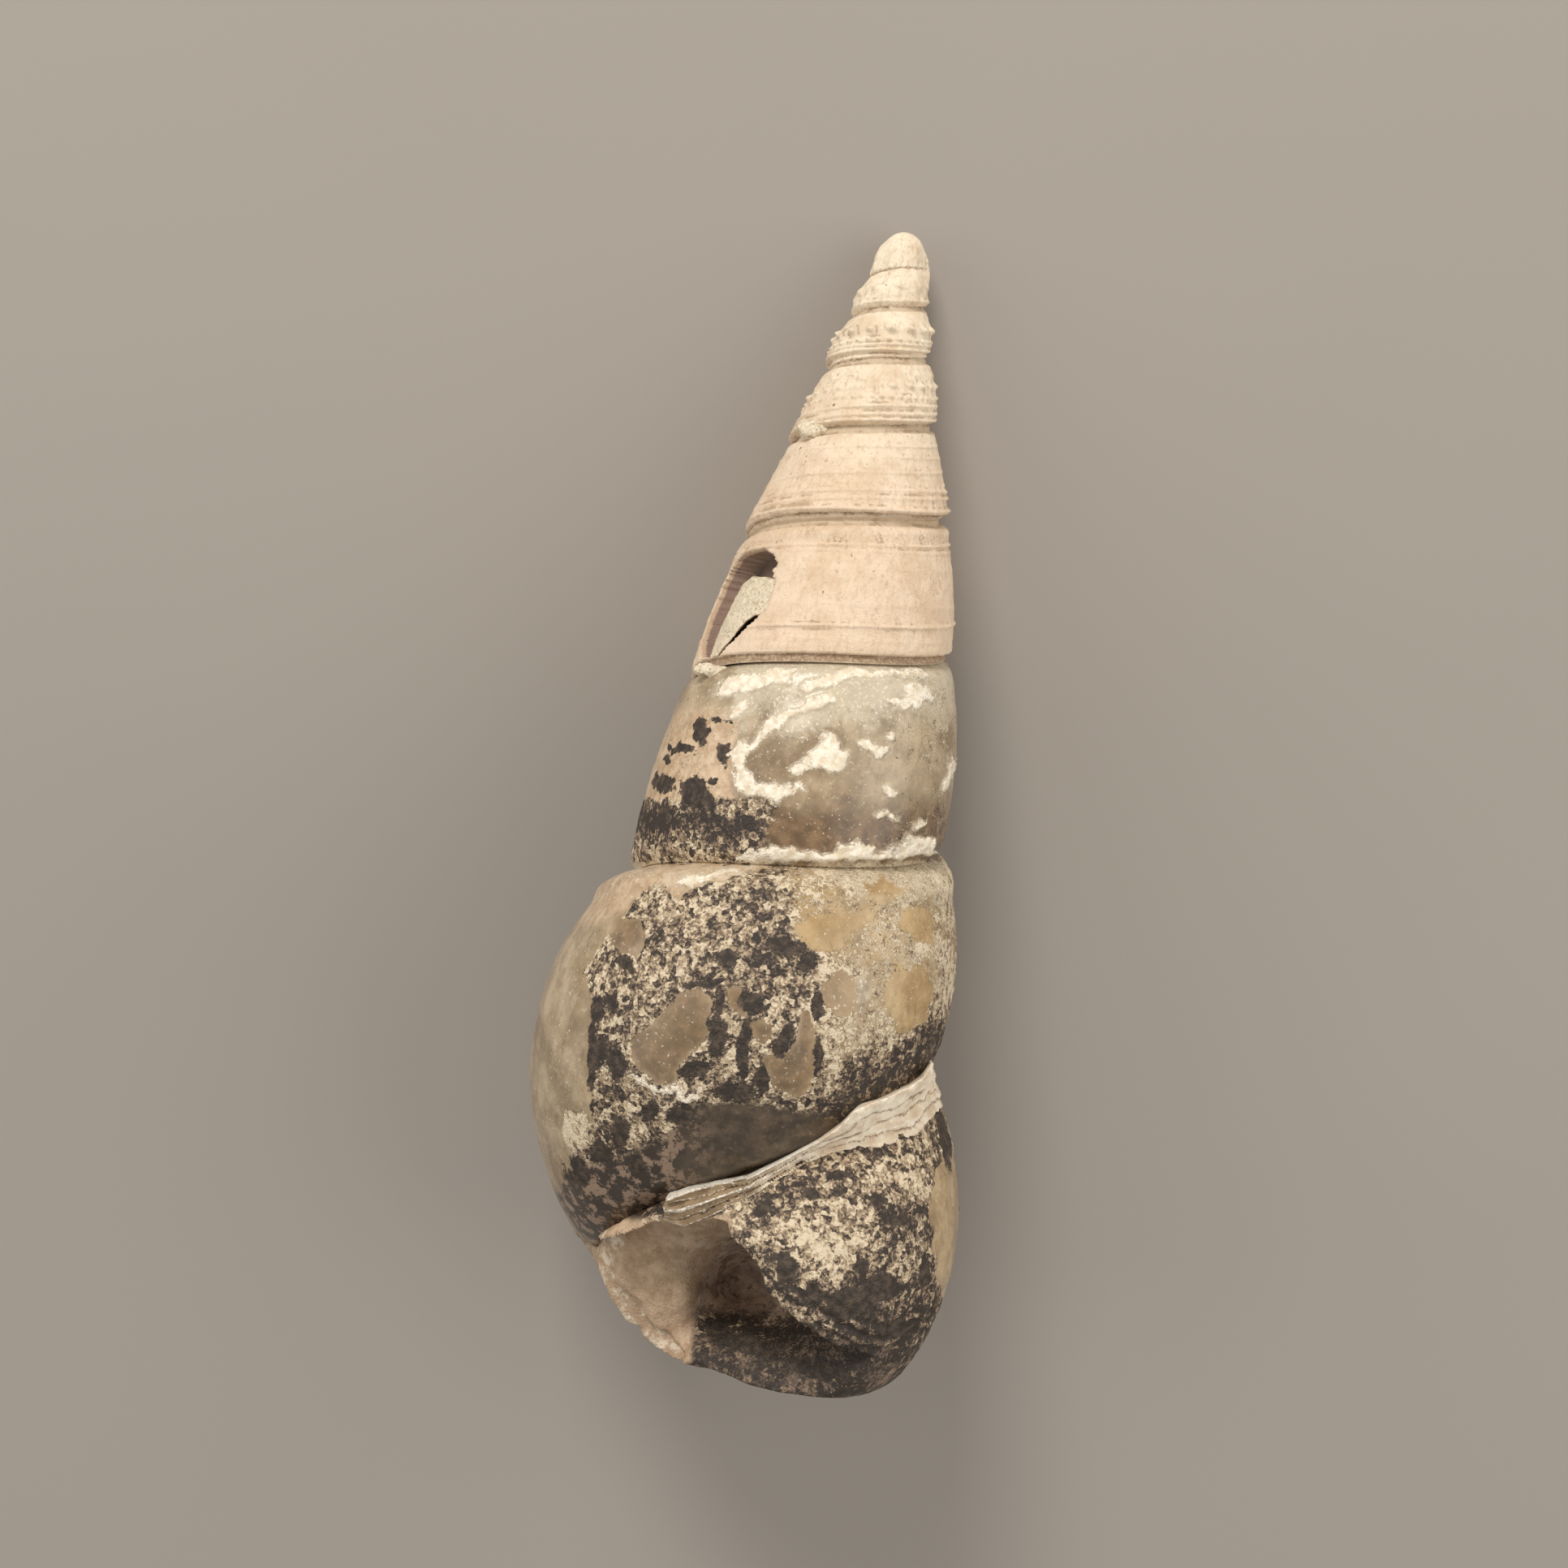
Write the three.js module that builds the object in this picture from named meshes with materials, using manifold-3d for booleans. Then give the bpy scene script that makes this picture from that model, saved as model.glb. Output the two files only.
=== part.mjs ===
// A fossil turret shell, lying on its back with its tip toward +Y.
// The tube winds about a long axis. Its upper whorls keep their chalky wall, and the lower ones
// are a stone cast of the inside. The base is broken and holds a bowl-shaped hollow.
// Units are millimetres and +Z is up.

import * as THREE from 'three';
import { ParametricGeometry } from 'three/addons/geometries/ParametricGeometry.js';
import { mergeGeometries, mergeVertices } from 'three/addons/utils/BufferGeometryUtils.js';
import Module from 'manifold-3d';

// Driving dimensions of the winding, read every half turn from the tip: right side, left side, ...
// Drop of each seam between two whorls below the tip
const SEAM_DROP = [
  1.25, 1.95, 2.71, 3.58, 4.52, 5.69, 7.11, 8.89, 10.79,
  13.01, 16.12, 18.83, 23.62, 26.73, 32.37, 41.38, 44.8, 43.9,
];
// Distance of each seam from the axis
const SEAM_RADIUS = [
  0.89, 1.1, 1.24, 1.5, 1.66, 2.05, 2.34, 2.86, 3.44,
  3.89, 4.71, 5.03, 5.8, 5.9, 6.7, 4.7, 7.3, 2.3,
];
// How far each whorl swells past the straight line between its two seams
const WHORL_SWELL = [
  0.1, 0.1, 0.1, 0.15, 0.2, 0.2, 0.3, 0.25, 0.35,
  0.25, 0.5, 0.4, 1.0, 3.15, 2.4, 0.3,
];
const TURNS = 7.5;
const FLANK_ROUNDNESS = 0.8;
const LIP_LATENESS = 1.8;

// Driving dimensions of the ends
const TIP_RINGS = 3;
const BASE_DROP = 45.0;
const BASE_CENTRE_X = 1.2;
const BASE_RINGS = 3;

// The hollow in the broken base, as a slanted bowl
const BOWL_CENTRE = new THREE.Vector3(-1.2, -40.45, 6.6);
const BOWL_RADII = new THREE.Vector3(4.3, 2.7, 7.2);
const BOWL_LEAN = THREE.MathUtils.degToRad(16);

// The hole worn through the wall of the sixth whorl
const HOLE_CENTRE = new THREE.Vector3(-3.35, -15.1, 2.9);
const HOLE_RADII = new THREE.Vector3(0.95, 2.1, 1.3);
const HOLE_LEAN = THREE.MathUtils.degToRad(-26);
const HOLE_TURN = THREE.MathUtils.degToRad(-48);

// How the shell rests: tipped until the backs of the lower whorls touch, with small worn flats
const REST_TILT = THREE.MathUtils.degToRad(12.4);
const WORN_DEPTH = 0.4;

// Fineness of the mesh
const STEPS_PER_TURN = 36;
const STEPS_PER_WHORL = 8;
const BOWL_FACETS = 18;

const FLOOR_BLOCK = 80;

// Smooth curve through values that are given every half turn
function alongWinding(values, turn) {
  const place = turn * 2;
  const last = values.length - 1;
  const step = Math.min(Math.floor(place), last - 1);
  const share = place - step;
  const before = values[Math.max(step - 1, 0)];
  const here = values[step];
  const next = values[step + 1];
  const after = values[Math.min(step + 2, last)];
  const slopeHere = (next - before) / 2;
  const slopeNext = (after - here) / 2;
  const square = share * share;
  const cube = square * share;
  return here * (2 * cube - 3 * square + 1)
    + slopeHere * (cube - 2 * square + share)
    + next * (3 * square - 2 * cube)
    + slopeNext * (cube - square);
}

// In its last half turn the whorl stays full past the front, and narrows late to the broken lip
function fullUntilLip(values, turn) {
  const last = values.length - 1;
  const share = turn * 2 - (last - 1);
  if (share <= 0) {
    return alongWinding(values, turn);
  }
  return values[last - 1] + (values[last] - values[last - 1]) * Math.pow(share, LIP_LATENESS);
}

// A point on the flank of a whorl: turn counts from the tip, across runs from the upper seam to
// the lower one
function flankPoint(turn, across, target) {
  const share = (1 - Math.cos(Math.PI * across)) / 2;
  const upperDrop = alongWinding(SEAM_DROP, turn);
  const lowerDrop = alongWinding(SEAM_DROP, turn + 1);
  const upperRadius = alongWinding(SEAM_RADIUS, turn);
  const lowerRadius = fullUntilLip(SEAM_RADIUS, turn + 1);
  const swell = fullUntilLip(WHORL_SWELL, turn);
  const roundness = Math.pow(4 * share * (1 - share), FLANK_ROUNDNESS);
  const radius = upperRadius + (lowerRadius - upperRadius) * share + swell * roundness;
  const drop = upperDrop + (lowerDrop - upperDrop) * share;
  const angle = 2 * Math.PI * turn;
  target.set(radius * Math.cos(angle), -drop, radius * Math.sin(angle));
}

// The wound flank from the first seam to the broken lip
function makeFlank() {
  const surface = (u, v, target) => flankPoint(u * TURNS, v, target);
  return new ParametricGeometry(surface, STEPS_PER_TURN * TURNS, STEPS_PER_WHORL);
}

// The tip closes the first turn with a small blunt dome
function makeTip() {
  const steps = STEPS_PER_TURN + STEPS_PER_WHORL;
  const surface = (u, v, target) => {
    const step = Math.round(u * steps);
    if (step <= STEPS_PER_TURN) {
      flankPoint(step / STEPS_PER_TURN, 0, target);
    } else {
      flankPoint(0, 1 - (step - STEPS_PER_TURN) / STEPS_PER_WHORL, target);
    }
    const spread = Math.sin((Math.PI * v) / 2);
    target.set(target.x * spread, target.y * v * v, target.z * spread);
  };
  return new ParametricGeometry(surface, steps, TIP_RINGS);
}

// The base closes the last turn, and its seam with the lip is the broken edge
function makeBase() {
  const steps = STEPS_PER_TURN + STEPS_PER_WHORL;
  const centre = new THREE.Vector3(BASE_CENTRE_X, -BASE_DROP, 0);
  const surface = (u, v, target) => {
    const step = Math.round(u * steps);
    if (step <= STEPS_PER_TURN) {
      flankPoint(TURNS - 1 + step / STEPS_PER_TURN, 1, target);
    } else {
      flankPoint(TURNS, 1 - (step - STEPS_PER_TURN) / STEPS_PER_WHORL, target);
    }
    target.lerp(centre, v);
  };
  return new ParametricGeometry(surface, steps, BASE_RINGS);
}

const wasm = await Module();
wasm.setup();

function toSolid(geometry) {
  geometry.deleteAttribute('normal');
  geometry.deleteAttribute('uv');
  const merged = mergeVertices(geometry);
  const index = merged.getIndex().array;
  const faces = [];
  for (let corner = 0; corner < index.length; corner += 3) {
    const [a, b, c] = [index[corner], index[corner + 1], index[corner + 2]];
    if (a !== b && b !== c && c !== a) {
      faces.push(a, b, c);
    }
  }
  return new wasm.Manifold(new wasm.Mesh({
    numProp: 3,
    vertProperties: new Float32Array(merged.getAttribute('position').array),
    triVerts: new Uint32Array(faces),
  }));
}

function toGeometry(solid) {
  const mesh = solid.getMesh();
  const geometry = new THREE.BufferGeometry();
  geometry.setAttribute('position', new THREE.BufferAttribute(new Float32Array(mesh.vertProperties), 3));
  geometry.setIndex(new THREE.BufferAttribute(new Uint32Array(mesh.triVerts), 1));
  geometry.computeVertexNormals();
  return geometry;
}

function makeEgg(radii, turn, lean, centre) {
  const egg = new THREE.SphereGeometry(1, BOWL_FACETS, BOWL_FACETS / 2);
  egg.scale(radii.x, radii.y, radii.z);
  egg.rotateY(turn);
  egg.rotateZ(lean);
  egg.translate(centre.x, centre.y, centre.z);
  return toSolid(egg);
}

function makeTurretShell() {
  const skin = mergeGeometries([makeFlank(), makeTip(), makeBase()]);
  const bowl = makeEgg(BOWL_RADII, 0, BOWL_LEAN, BOWL_CENTRE);
  const hole = makeEgg(HOLE_RADII, HOLE_TURN, HOLE_LEAN, HOLE_CENTRE);
  return toGeometry(toSolid(skin).subtract(bowl).subtract(hole));
}

// Tip the shell onto its back, wear the flats and set the middle of its footprint on the origin
function layOnItsBack(geometry) {
  geometry.rotateX(-REST_TILT);
  geometry.computeBoundingBox();
  const { min, max } = geometry.boundingBox;
  geometry.translate(-(min.x + max.x) / 2, -(min.y + max.y) / 2, -min.z - WORN_DEPTH);
  const block = new THREE.BoxGeometry(FLOOR_BLOCK, FLOOR_BLOCK, FLOOR_BLOCK);
  block.translate(0, 0, FLOOR_BLOCK / 2);
  return toGeometry(toSolid(geometry).intersect(toSolid(block)));
}

const chalkAndStone = new THREE.MeshStandardMaterial({
  color: 0xb8a488,
  roughness: 0.6,
  metalness: 0,
});

const turretShell = new THREE.Mesh(layOnItsBack(makeTurretShell()), chalkAndStone);
turretShell.name = 'turret_shell';

const fossil = new THREE.Group();
fossil.add(turretShell);

export default fossil;
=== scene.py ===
# %% [markdown]
# # A fossil turret shell
# A turret shell is one tube that winds round a long axis, each turn wider than the last. In this
# fossil the upper whorls keep their chalky wall. Lower down the wall has flaked away and shows the
# stone that filled it. The model is made from the same winding numbers as the solid part, so every
# piece lands where the solid part is.

# %% Load the frame
import math

import bpy
import numpy as np
from mathutils import Matrix, Vector


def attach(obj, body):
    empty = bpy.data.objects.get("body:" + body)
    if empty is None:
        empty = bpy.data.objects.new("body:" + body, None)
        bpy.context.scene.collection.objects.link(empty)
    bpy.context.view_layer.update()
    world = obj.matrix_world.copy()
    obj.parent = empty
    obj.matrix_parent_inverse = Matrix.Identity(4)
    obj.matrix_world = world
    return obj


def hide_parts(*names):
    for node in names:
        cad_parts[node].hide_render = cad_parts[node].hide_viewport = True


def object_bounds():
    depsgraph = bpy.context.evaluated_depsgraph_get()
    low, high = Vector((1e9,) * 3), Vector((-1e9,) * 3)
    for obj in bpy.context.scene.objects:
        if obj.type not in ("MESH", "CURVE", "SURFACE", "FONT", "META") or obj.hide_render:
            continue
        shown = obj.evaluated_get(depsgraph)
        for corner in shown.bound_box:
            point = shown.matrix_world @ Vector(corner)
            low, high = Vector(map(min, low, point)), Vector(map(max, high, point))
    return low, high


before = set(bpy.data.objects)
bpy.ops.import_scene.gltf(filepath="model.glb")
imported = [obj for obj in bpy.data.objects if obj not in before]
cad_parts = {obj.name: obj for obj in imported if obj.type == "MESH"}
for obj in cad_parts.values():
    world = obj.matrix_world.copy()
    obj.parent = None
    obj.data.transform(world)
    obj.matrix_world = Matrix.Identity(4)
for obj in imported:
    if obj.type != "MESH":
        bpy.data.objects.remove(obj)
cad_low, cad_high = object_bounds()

MM = 0.001
print("solid part from", [round(v / MM, 1) for v in cad_low], "to", [round(v / MM, 1) for v in cad_high])

# %% [markdown]
# ## Shell space
# It is easier to think of the shell standing on its own axis than lying tipped on a table. So all
# shapes are worked out in shell space: millimetres, tip at the origin, axis along -Y, +X to the
# right and +Z towards the viewer. One function lays the shell on its back. It also presses
# whatever would sink through the table flat, which gives the small worn flats of the real thing.

# %% Shell space and the table
REST_TILT = math.radians(12.4)
TIP_PLACE = np.array([-0.475, cad_high.y / MM, 1.195])


def to_table(points):
    x, y, z = points.T
    cosine, sine = math.cos(REST_TILT), math.sin(REST_TILT)
    laid = np.stack([x, cosine * y + sine * z, cosine * z - sine * y], axis=1) + TIP_PLACE
    laid[:, 2] = np.maximum(laid[:, 2], 0)
    return laid * MM


print("tip lies at", TIP_PLACE.round(2), "mm")

# %% [markdown]
# ## Where the photographer stood
# The photograph is square, 1932 pixels a side. The shell's tip, the lean of its axis and the scale
# of 31.4 pixels to the millimetre fix the camera. Its distance follows from how much the seams
# bend. The same numbers turn a place on the photograph into a place on the shell, which is how the
# flakes and stains further down are put where they belong.

# %% Photograph to shell
PHOTO_SIZE = 1932
PHOTO_CENTRE = np.array([966.0, 966.0])
PHOTO_TIP = np.array([1118.0, 287.0])
PHOTO_DOWN = np.array([-0.189, 0.982])
PHOTO_RIGHT = np.array([0.982, 0.189])
PIXELS_PER_MM = 31.4
EYE_DISTANCE = 111.5


def photo_place(points):
    x, y, z = points.T
    flat = PHOTO_TIP + PIXELS_PER_MM * (np.outer(-y, PHOTO_DOWN) + np.outer(x, PHOTO_RIGHT))
    nearer = 1 / (1 - z / EYE_DISTANCE)
    return (PHOTO_CENTRE + (flat - PHOTO_CENTRE) * nearer[:, None]).T


def shell_place(px, py, depth):
    away = (np.array([px, py], float) - PHOTO_CENTRE) * (1 - depth / EYE_DISTANCE)
    flat = (PHOTO_CENTRE + away - PHOTO_TIP) / PIXELS_PER_MM
    return np.array([flat @ PHOTO_RIGHT, -(flat @ PHOTO_DOWN), depth])


eye = shell_place(*PHOTO_CENTRE, 0) + [0, 0, EYE_DISTANCE]
print("eye in shell space", eye.round(2))

# %% [markdown]
# ## Camera
# The camera looks straight at the shell's axis from 111 mm away. The shell lies on a table, so the
# camera looks down. Its roll follows the lean of the shell on the photograph. Directions are
# measured well above the table, because the table flattens whatever touches it.

# %% Camera
SENSOR = 36.0
NEAREST_SEEN = 0.005
WELL_ABOVE = [0.0, 0.0, 50.0]


def direction(vector):
    laid = to_table(np.array([vector, [0.0, 0.0, 0.0]]) + WELL_ABOVE)
    return Vector(laid[0] - laid[1]).normalized()


camera_data = bpy.data.cameras.new("photographer")
camera_data.sensor_width = SENSOR
camera_data.lens = EYE_DISTANCE * PIXELS_PER_MM / PHOTO_SIZE * SENSOR
camera_data.clip_start = NEAREST_SEEN
camera = bpy.data.objects.new("photographer", camera_data)
bpy.context.collection.objects.link(camera)
camera.location = Vector(to_table(eye[None])[0])
picture_up = direction([PHOTO_DOWN[0], PHOTO_DOWN[1], 0.0])
camera_back = direction([0.0, 0.0, 1.0])
picture_right = picture_up.cross(camera_back)
camera.rotation_mode = "QUATERNION"
camera.rotation_quaternion = Matrix((picture_right, picture_up, camera_back)).transposed().to_quaternion()
bpy.context.scene.camera = camera
print("lens", round(camera_data.lens, 1), "mm")

# %% [markdown]
# ## Repeatable grain
# Stone, chalk and broken edges all need roughness that looks random but comes out the same each
# time. A random number generator would depend on the order of the calls. Instead, every corner of a
# fine lattice gets a fixed value, mixed from its whole-number place and a seed.

# %% Lattice values
AXIS_MIX = np.array([73856093, 19349663, 83492791])
SEED_MIX, FINAL_MIX = 2654435, 1274126177


def corner_value(corner, seed):
    x, y, z = (corner * AXIS_MIX).T
    mixed = x ^ y ^ z ^ seed * SEED_MIX
    mixed = (mixed ^ (mixed >> 13)) * FINAL_MIX & 0x7FFFFFFF
    return ((mixed ^ (mixed >> 16)) & 0xFFFF) / 0xFFFF


print("first corner's value", corner_value(np.zeros((1, 3), int), 1).round(3))

# %% [markdown]
# Between the corners the values are blended. The lattice is turned, so its rows never line up with
# the shell. Copies at half the size and half the strength are added in layers, which gives the
# uneven, cloud-like patches of natural crusts.

# %% Grain
SEED_SHIFT = 17.3
LATTICE_TURN = np.array([[0.36, 0.48, -0.8], [-0.8, 0.6, 0.0], [0.48, 0.64, 0.6]])


def soften(share):
    return share * share * (3 - 2 * share)


def one_grain(points, size, seed):
    scaled = points @ LATTICE_TURN / size + seed * SEED_SHIFT
    cell = np.floor(scaled).astype(np.int64)
    share = soften(scaled - cell)
    total = np.zeros(len(points))
    for corner in range(8):
        step = np.array([corner & 1, corner >> 1 & 1, corner >> 2 & 1])
        weight = np.prod(np.where(step, share, 1 - share), axis=1)
        total += weight * corner_value(cell + step, seed)
    return total


def grain(points, size, seed, layers=4):
    total, reach = np.zeros(len(points)), 0.0
    for layer in range(layers):
        strength = 0.5 ** layer
        total += strength * (one_grain(points, size * 0.5 ** layer, seed + layer) - 0.5)
        reach += strength
    return total / reach * 2


print("grain at the tip", grain(np.zeros((1, 3)), 1.0, 1).round(3))


# %% [markdown]
# Edges should be soft, never a jump. `soft_step` rises from 0 to 1 between two values, and falls
# when they are given the other way round.

# %% Soft step
def soft_step(low, high, value):
    return soften(np.clip((value - low) / (high - low), 0, 1))


print("halfway up a step", soft_step(0, 2, 1.0))

# %% [markdown]
# ## The winding
# The tube's seams, their distance from the axis and how far each whorl swells are read every half
# turn, right side then left side, in millimetres.

# %% Winding numbers
SEAM_DROP = [
    1.25, 1.95, 2.71, 3.58, 4.52, 5.69, 7.11, 8.89, 10.79,
    13.01, 16.12, 18.83, 23.62, 26.73, 32.37, 41.38, 44.8, 43.9,
]
SEAM_RADIUS = [
    0.89, 1.1, 1.24, 1.5, 1.66, 2.05, 2.34, 2.86, 3.44,
    3.89, 4.71, 5.03, 5.8, 5.9, 6.7, 4.7, 7.3, 2.3,
]
WHORL_SWELL = [
    0.1, 0.1, 0.1, 0.15, 0.2, 0.2, 0.3, 0.25, 0.35,
    0.25, 0.5, 0.4, 1.0, 3.15, 2.4, 0.3,
]
print(len(SEAM_DROP), "readings, the last whorl swells by", max(WHORL_SWELL), "mm")

# %% [markdown]
# A smooth curve joins the readings. The whorl narrows late towards the broken lip, so its last half
# turn has a curve of its own.

# %% Curves through the readings
LIP_LATENESS = 1.8


def along_winding(values, turn):
    values = np.asarray(values, float)
    last = len(values) - 1
    place = np.clip(np.asarray(turn, float) * 2, 0, last)
    step = np.minimum(place.astype(int), last - 1)
    share = place - step
    before, here = values[np.maximum(step - 1, 0)], values[step]
    after, following = values[step + 1], values[np.minimum(step + 2, last)]
    slope_here, slope_after = (after - before) / 2, (following - here) / 2
    square, cube = share ** 2, share ** 3
    return (here * (2 * cube - 3 * square + 1) + slope_here * (cube - 2 * square + share)
            + after * (3 * square - 2 * cube) + slope_after * (cube - square))


def full_until_lip(values, turn):
    share = np.clip(np.asarray(turn, float) * 2 - (len(values) - 2), 0, 1)
    narrowed = values[-2] + (values[-1] - values[-2]) * share ** LIP_LATENESS
    return np.where(share > 0, narrowed, along_winding(values, turn))


def whorl_pitch(turn):
    return along_winding(SEAM_DROP, turn + 1) - along_winding(SEAM_DROP, np.maximum(turn, 0))


print("pitch of the sixth whorl", round(float(whorl_pitch(5.0)), 2), "mm")

# %% [markdown]
# ## Radius at any place
# Any direction round the axis and any drop below the tip give a whorl, a place across that whorl
# and a radius. A whorl's profile isn't the same all the way down. The young whorls are like a
# pagoda roof: they flare towards their lower end and step in sharply at the seam. The older ones
# are round. The very tip is a small dome.

# %% Radius of the shell at any place
ROUND_FROM, ROUND_TO, ROUNDNESS = 3.2, 4.2, 0.8
FLARE_FULL, FLARE_POWER, RIM_START = 0.8, 0.7, 0.93
DOME_POWER, LAST_SEAM = 2.4, 8.5


def find_whorl(around, drop):
    whorl = -np.ones(len(around))
    for step in range(math.ceil(LAST_SEAM)):
        seam = along_winding(SEAM_DROP, step + around)
        seam = np.where(step + around > LAST_SEAM, np.inf, seam)
        whorl += drop >= seam
    turn = whorl + around
    upper = np.where(whorl < 0, 0.0, along_winding(SEAM_DROP, np.maximum(turn, 0)))
    lower = along_winding(SEAM_DROP, turn + 1)
    return turn, np.clip((drop - upper) / np.maximum(lower - upper, 0.01), 0, 1)


def whorl_profile(turn, across):
    rounded = (4 * across * (1 - across)) ** ROUNDNESS
    rim = 1 - np.clip((across - RIM_START) / (1 - RIM_START), 0, 1) ** 2
    flared = np.minimum(across / FLARE_FULL, 1) ** FLARE_POWER * rim
    blend = soft_step(ROUND_FROM, ROUND_TO, turn)
    return flared * (1 - blend) + rounded * blend


def shell_radius(around, drop):
    turn, across = find_whorl(around, drop)
    upper_radius = along_winding(SEAM_RADIUS, np.maximum(turn, 0))
    lower_radius = full_until_lip(SEAM_RADIUS, turn + 1)
    swell = full_until_lip(WHORL_SWELL, np.maximum(turn, 0))
    radius = upper_radius + (lower_radius - upper_radius) * across
    radius = radius + swell * whorl_profile(turn, across)
    dome = np.sqrt(1 - (1 - across) ** DOME_POWER) * along_winding(SEAM_RADIUS, around)
    return np.where(turn < around, dome, radius), turn, across


print("radius 30 mm down on the right", shell_radius(np.zeros(1), np.full(1, 30.0))[0].round(2), "mm")

# %% [markdown]
# The radius is looked up many times, so it is worked out once on a fine table and read from there.

# %% Radius table
TABLE_TURNS, TABLE_STEP, TABLE_END = 720, 0.04, 46.5
table_around, table_drop = np.meshgrid(
    np.arange(TABLE_TURNS + 1) / TABLE_TURNS, np.arange(0, TABLE_END, TABLE_STEP), indexing="ij")
radius_table = shell_radius(table_around.ravel(), table_drop.ravel())[0].reshape(table_around.shape)
print("widest radius", round(radius_table.max(), 2), "mm")


def read_table(table, around, drop):
    place = np.mod(around, 1) * TABLE_TURNS
    level = np.clip(drop / TABLE_STEP, 0, table.shape[1] - 1.001)
    column, row = place.astype(int), level.astype(int)
    u, v = place - column, level - row
    upper = table[column, row] * (1 - u) + table[column + 1, row] * u
    lower = table[column, row + 1] * (1 - u) + table[column + 1, row + 1] * u
    return upper * (1 - v) + lower * v


def around_and_drop(points):
    return np.mod(np.arctan2(points[:, 2], points[:, 0]) / (2 * math.pi), 1), -points[:, 1]


# %% [markdown]
# ## Barrels
# Most pieces start as a grid wrapped round the axis and closed at both ends, like a barrel. Faces
# are listed with array arithmetic, because a piece has about a hundred thousand points.

# %% Barrels
COARSE = 1.0


def ring_points(around, drop, radius):
    angle = 2 * math.pi * around
    return np.stack([radius * np.cos(angle), -drop, radius * np.sin(angle)], axis=1)


def barrel_faces(rows, columns):
    ring = np.arange(columns)
    following = (ring + 1) % columns
    start = np.arange(rows - 1)[:, None] * columns
    first, right = start + ring, start + following
    quads = np.stack([first, first + columns, right + columns, right], axis=-1).reshape(-1, 4)
    top, bottom, last = rows * columns, rows * columns + 1, (rows - 1) * columns
    caps = [[top, int(a), int(b)] for a, b in zip(ring, following)]
    caps += [[bottom, last + int(b), last + int(a)] for a, b in zip(ring, following)]
    return quads.tolist() + caps


print("share of full detail", COARSE, "and", len(barrel_faces(3, 8)), "faces in a small barrel")

# %% [markdown]
# ## From points to a piece
# One function makes every mesh. It lays the points on the table and joins the piece to the solid
# part's body. Values worked out for each point, such as how deep it lies in a groove, are kept as
# named attributes for the finish to read.

# %% From points to a piece
def make_piece(name, points, faces, fields, material):
    mesh = bpy.data.meshes.new(name)
    mesh.from_pydata(to_table(points).tolist(), [], faces)
    for field, values in fields.items():
        attribute = mesh.attributes.new(field, "FLOAT", "POINT")
        attribute.data.foreach_set("value", np.asarray(values, np.float32))
    mesh.polygons.foreach_set("use_smooth", [True] * len(mesh.polygons))
    mesh.materials.append(material)
    mesh.validate()
    piece = bpy.data.objects.new(name, mesh)
    bpy.context.collection.objects.link(piece)
    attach(piece, "root")
    print(name, len(points), "points,", len(faces), "faces")
    return piece


def make_barrel(name, points, ends, size, fields, material):
    points = np.vstack([points, ends])
    fields = {key: np.append(values, [0, 0]) for key, values in fields.items()}
    return make_piece(name, points, barrel_faces(*size), fields, material)


# %% [markdown]
# ## Carving with a field
# Broken edges, hollows and plugs have no neat grid. They are easier to describe as a field: a number
# for every place in space that is negative inside the solid. Fields are combined with minimum and
# maximum, and noise added to a field gives a ragged break. A net of small quads is then laid where
# the field changes sign. Each small cell that the surface passes through gets one point, at the
# mean of the places where the surface crosses the cell's edges.

# %% Net points
EDGES = [(axis, u, v) for axis in range(3) for u in (0, 1) for v in (0, 1)]


def lattice(low, high, step):
    sides = [np.arange(a, b + step, step) for a, b in zip(low, high)]
    grid = np.stack(np.meshgrid(*sides, indexing="ij"), axis=-1)
    return grid.reshape(-1, 3), grid.shape[:3]


def crossing_mean(field, cells):
    total, hits = np.zeros((len(cells), 3)), np.zeros(len(cells))
    for axis, u, v in EDGES:
        start = cells.copy()
        start[:, (axis + 1) % 3] += u
        start[:, (axis + 2) % 3] += v
        stop = start.copy()
        stop[:, axis] += 1
        first, second = field[tuple(start.T)], field[tuple(stop.T)]
        crossed = (first < 0) != (second < 0)
        place = (start - cells).astype(float)
        place[:, axis] += np.where(crossed, first / np.where(crossed, first - second, 1), 0)
        total[crossed] += place[crossed]
        hits[crossed] += 1
    return total / hits[:, None]


print(len(EDGES), "edges in a cell")

# %% [markdown]
# ## Faces of the net
# Wherever a lattice edge is crossed, the four cells round it are joined by one quad. Its corners are
# listed so that the face looks out of the solid.

# %% Net faces
def net_quads(solid, number):
    quads = []
    for axis in range(3):
        order = (axis, (axis + 1) % 3, (axis + 2) % 3)
        turned_solid = np.moveaxis(solid, order, (0, 1, 2))
        turned_number = np.moveaxis(number, order, (0, 1, 2))
        changes = (turned_solid[:-1] != turned_solid[1:])[:, 1:-1, 1:-1]
        i, j, k = np.nonzero(changes)
        loop = [turned_number[i, j, k], turned_number[i, j + 1, k],
                turned_number[i, j + 1, k + 1], turned_number[i, j, k + 1]]
        loop = np.stack(loop, axis=1)
        leaving = turned_solid[i, j + 1, k + 1]
        quads.append(np.where(leaving[:, None], loop, loop[:, ::-1]))
    return np.concatenate(quads).tolist()


def lay_net(field, low, step):
    solid = field < 0
    inside = sum(solid[i:i - 1 or None, j:j - 1 or None, k:k - 1 or None].astype(np.int8)
                 for i in (0, 1) for j in (0, 1) for k in (0, 1))
    active = (inside > 0) & (inside < 8)
    cells = np.argwhere(active)
    number = np.full(active.shape, -1)
    number[active] = np.arange(len(cells))
    return low + step * (cells + crossing_mean(field, cells)), net_quads(solid, number)


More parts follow.
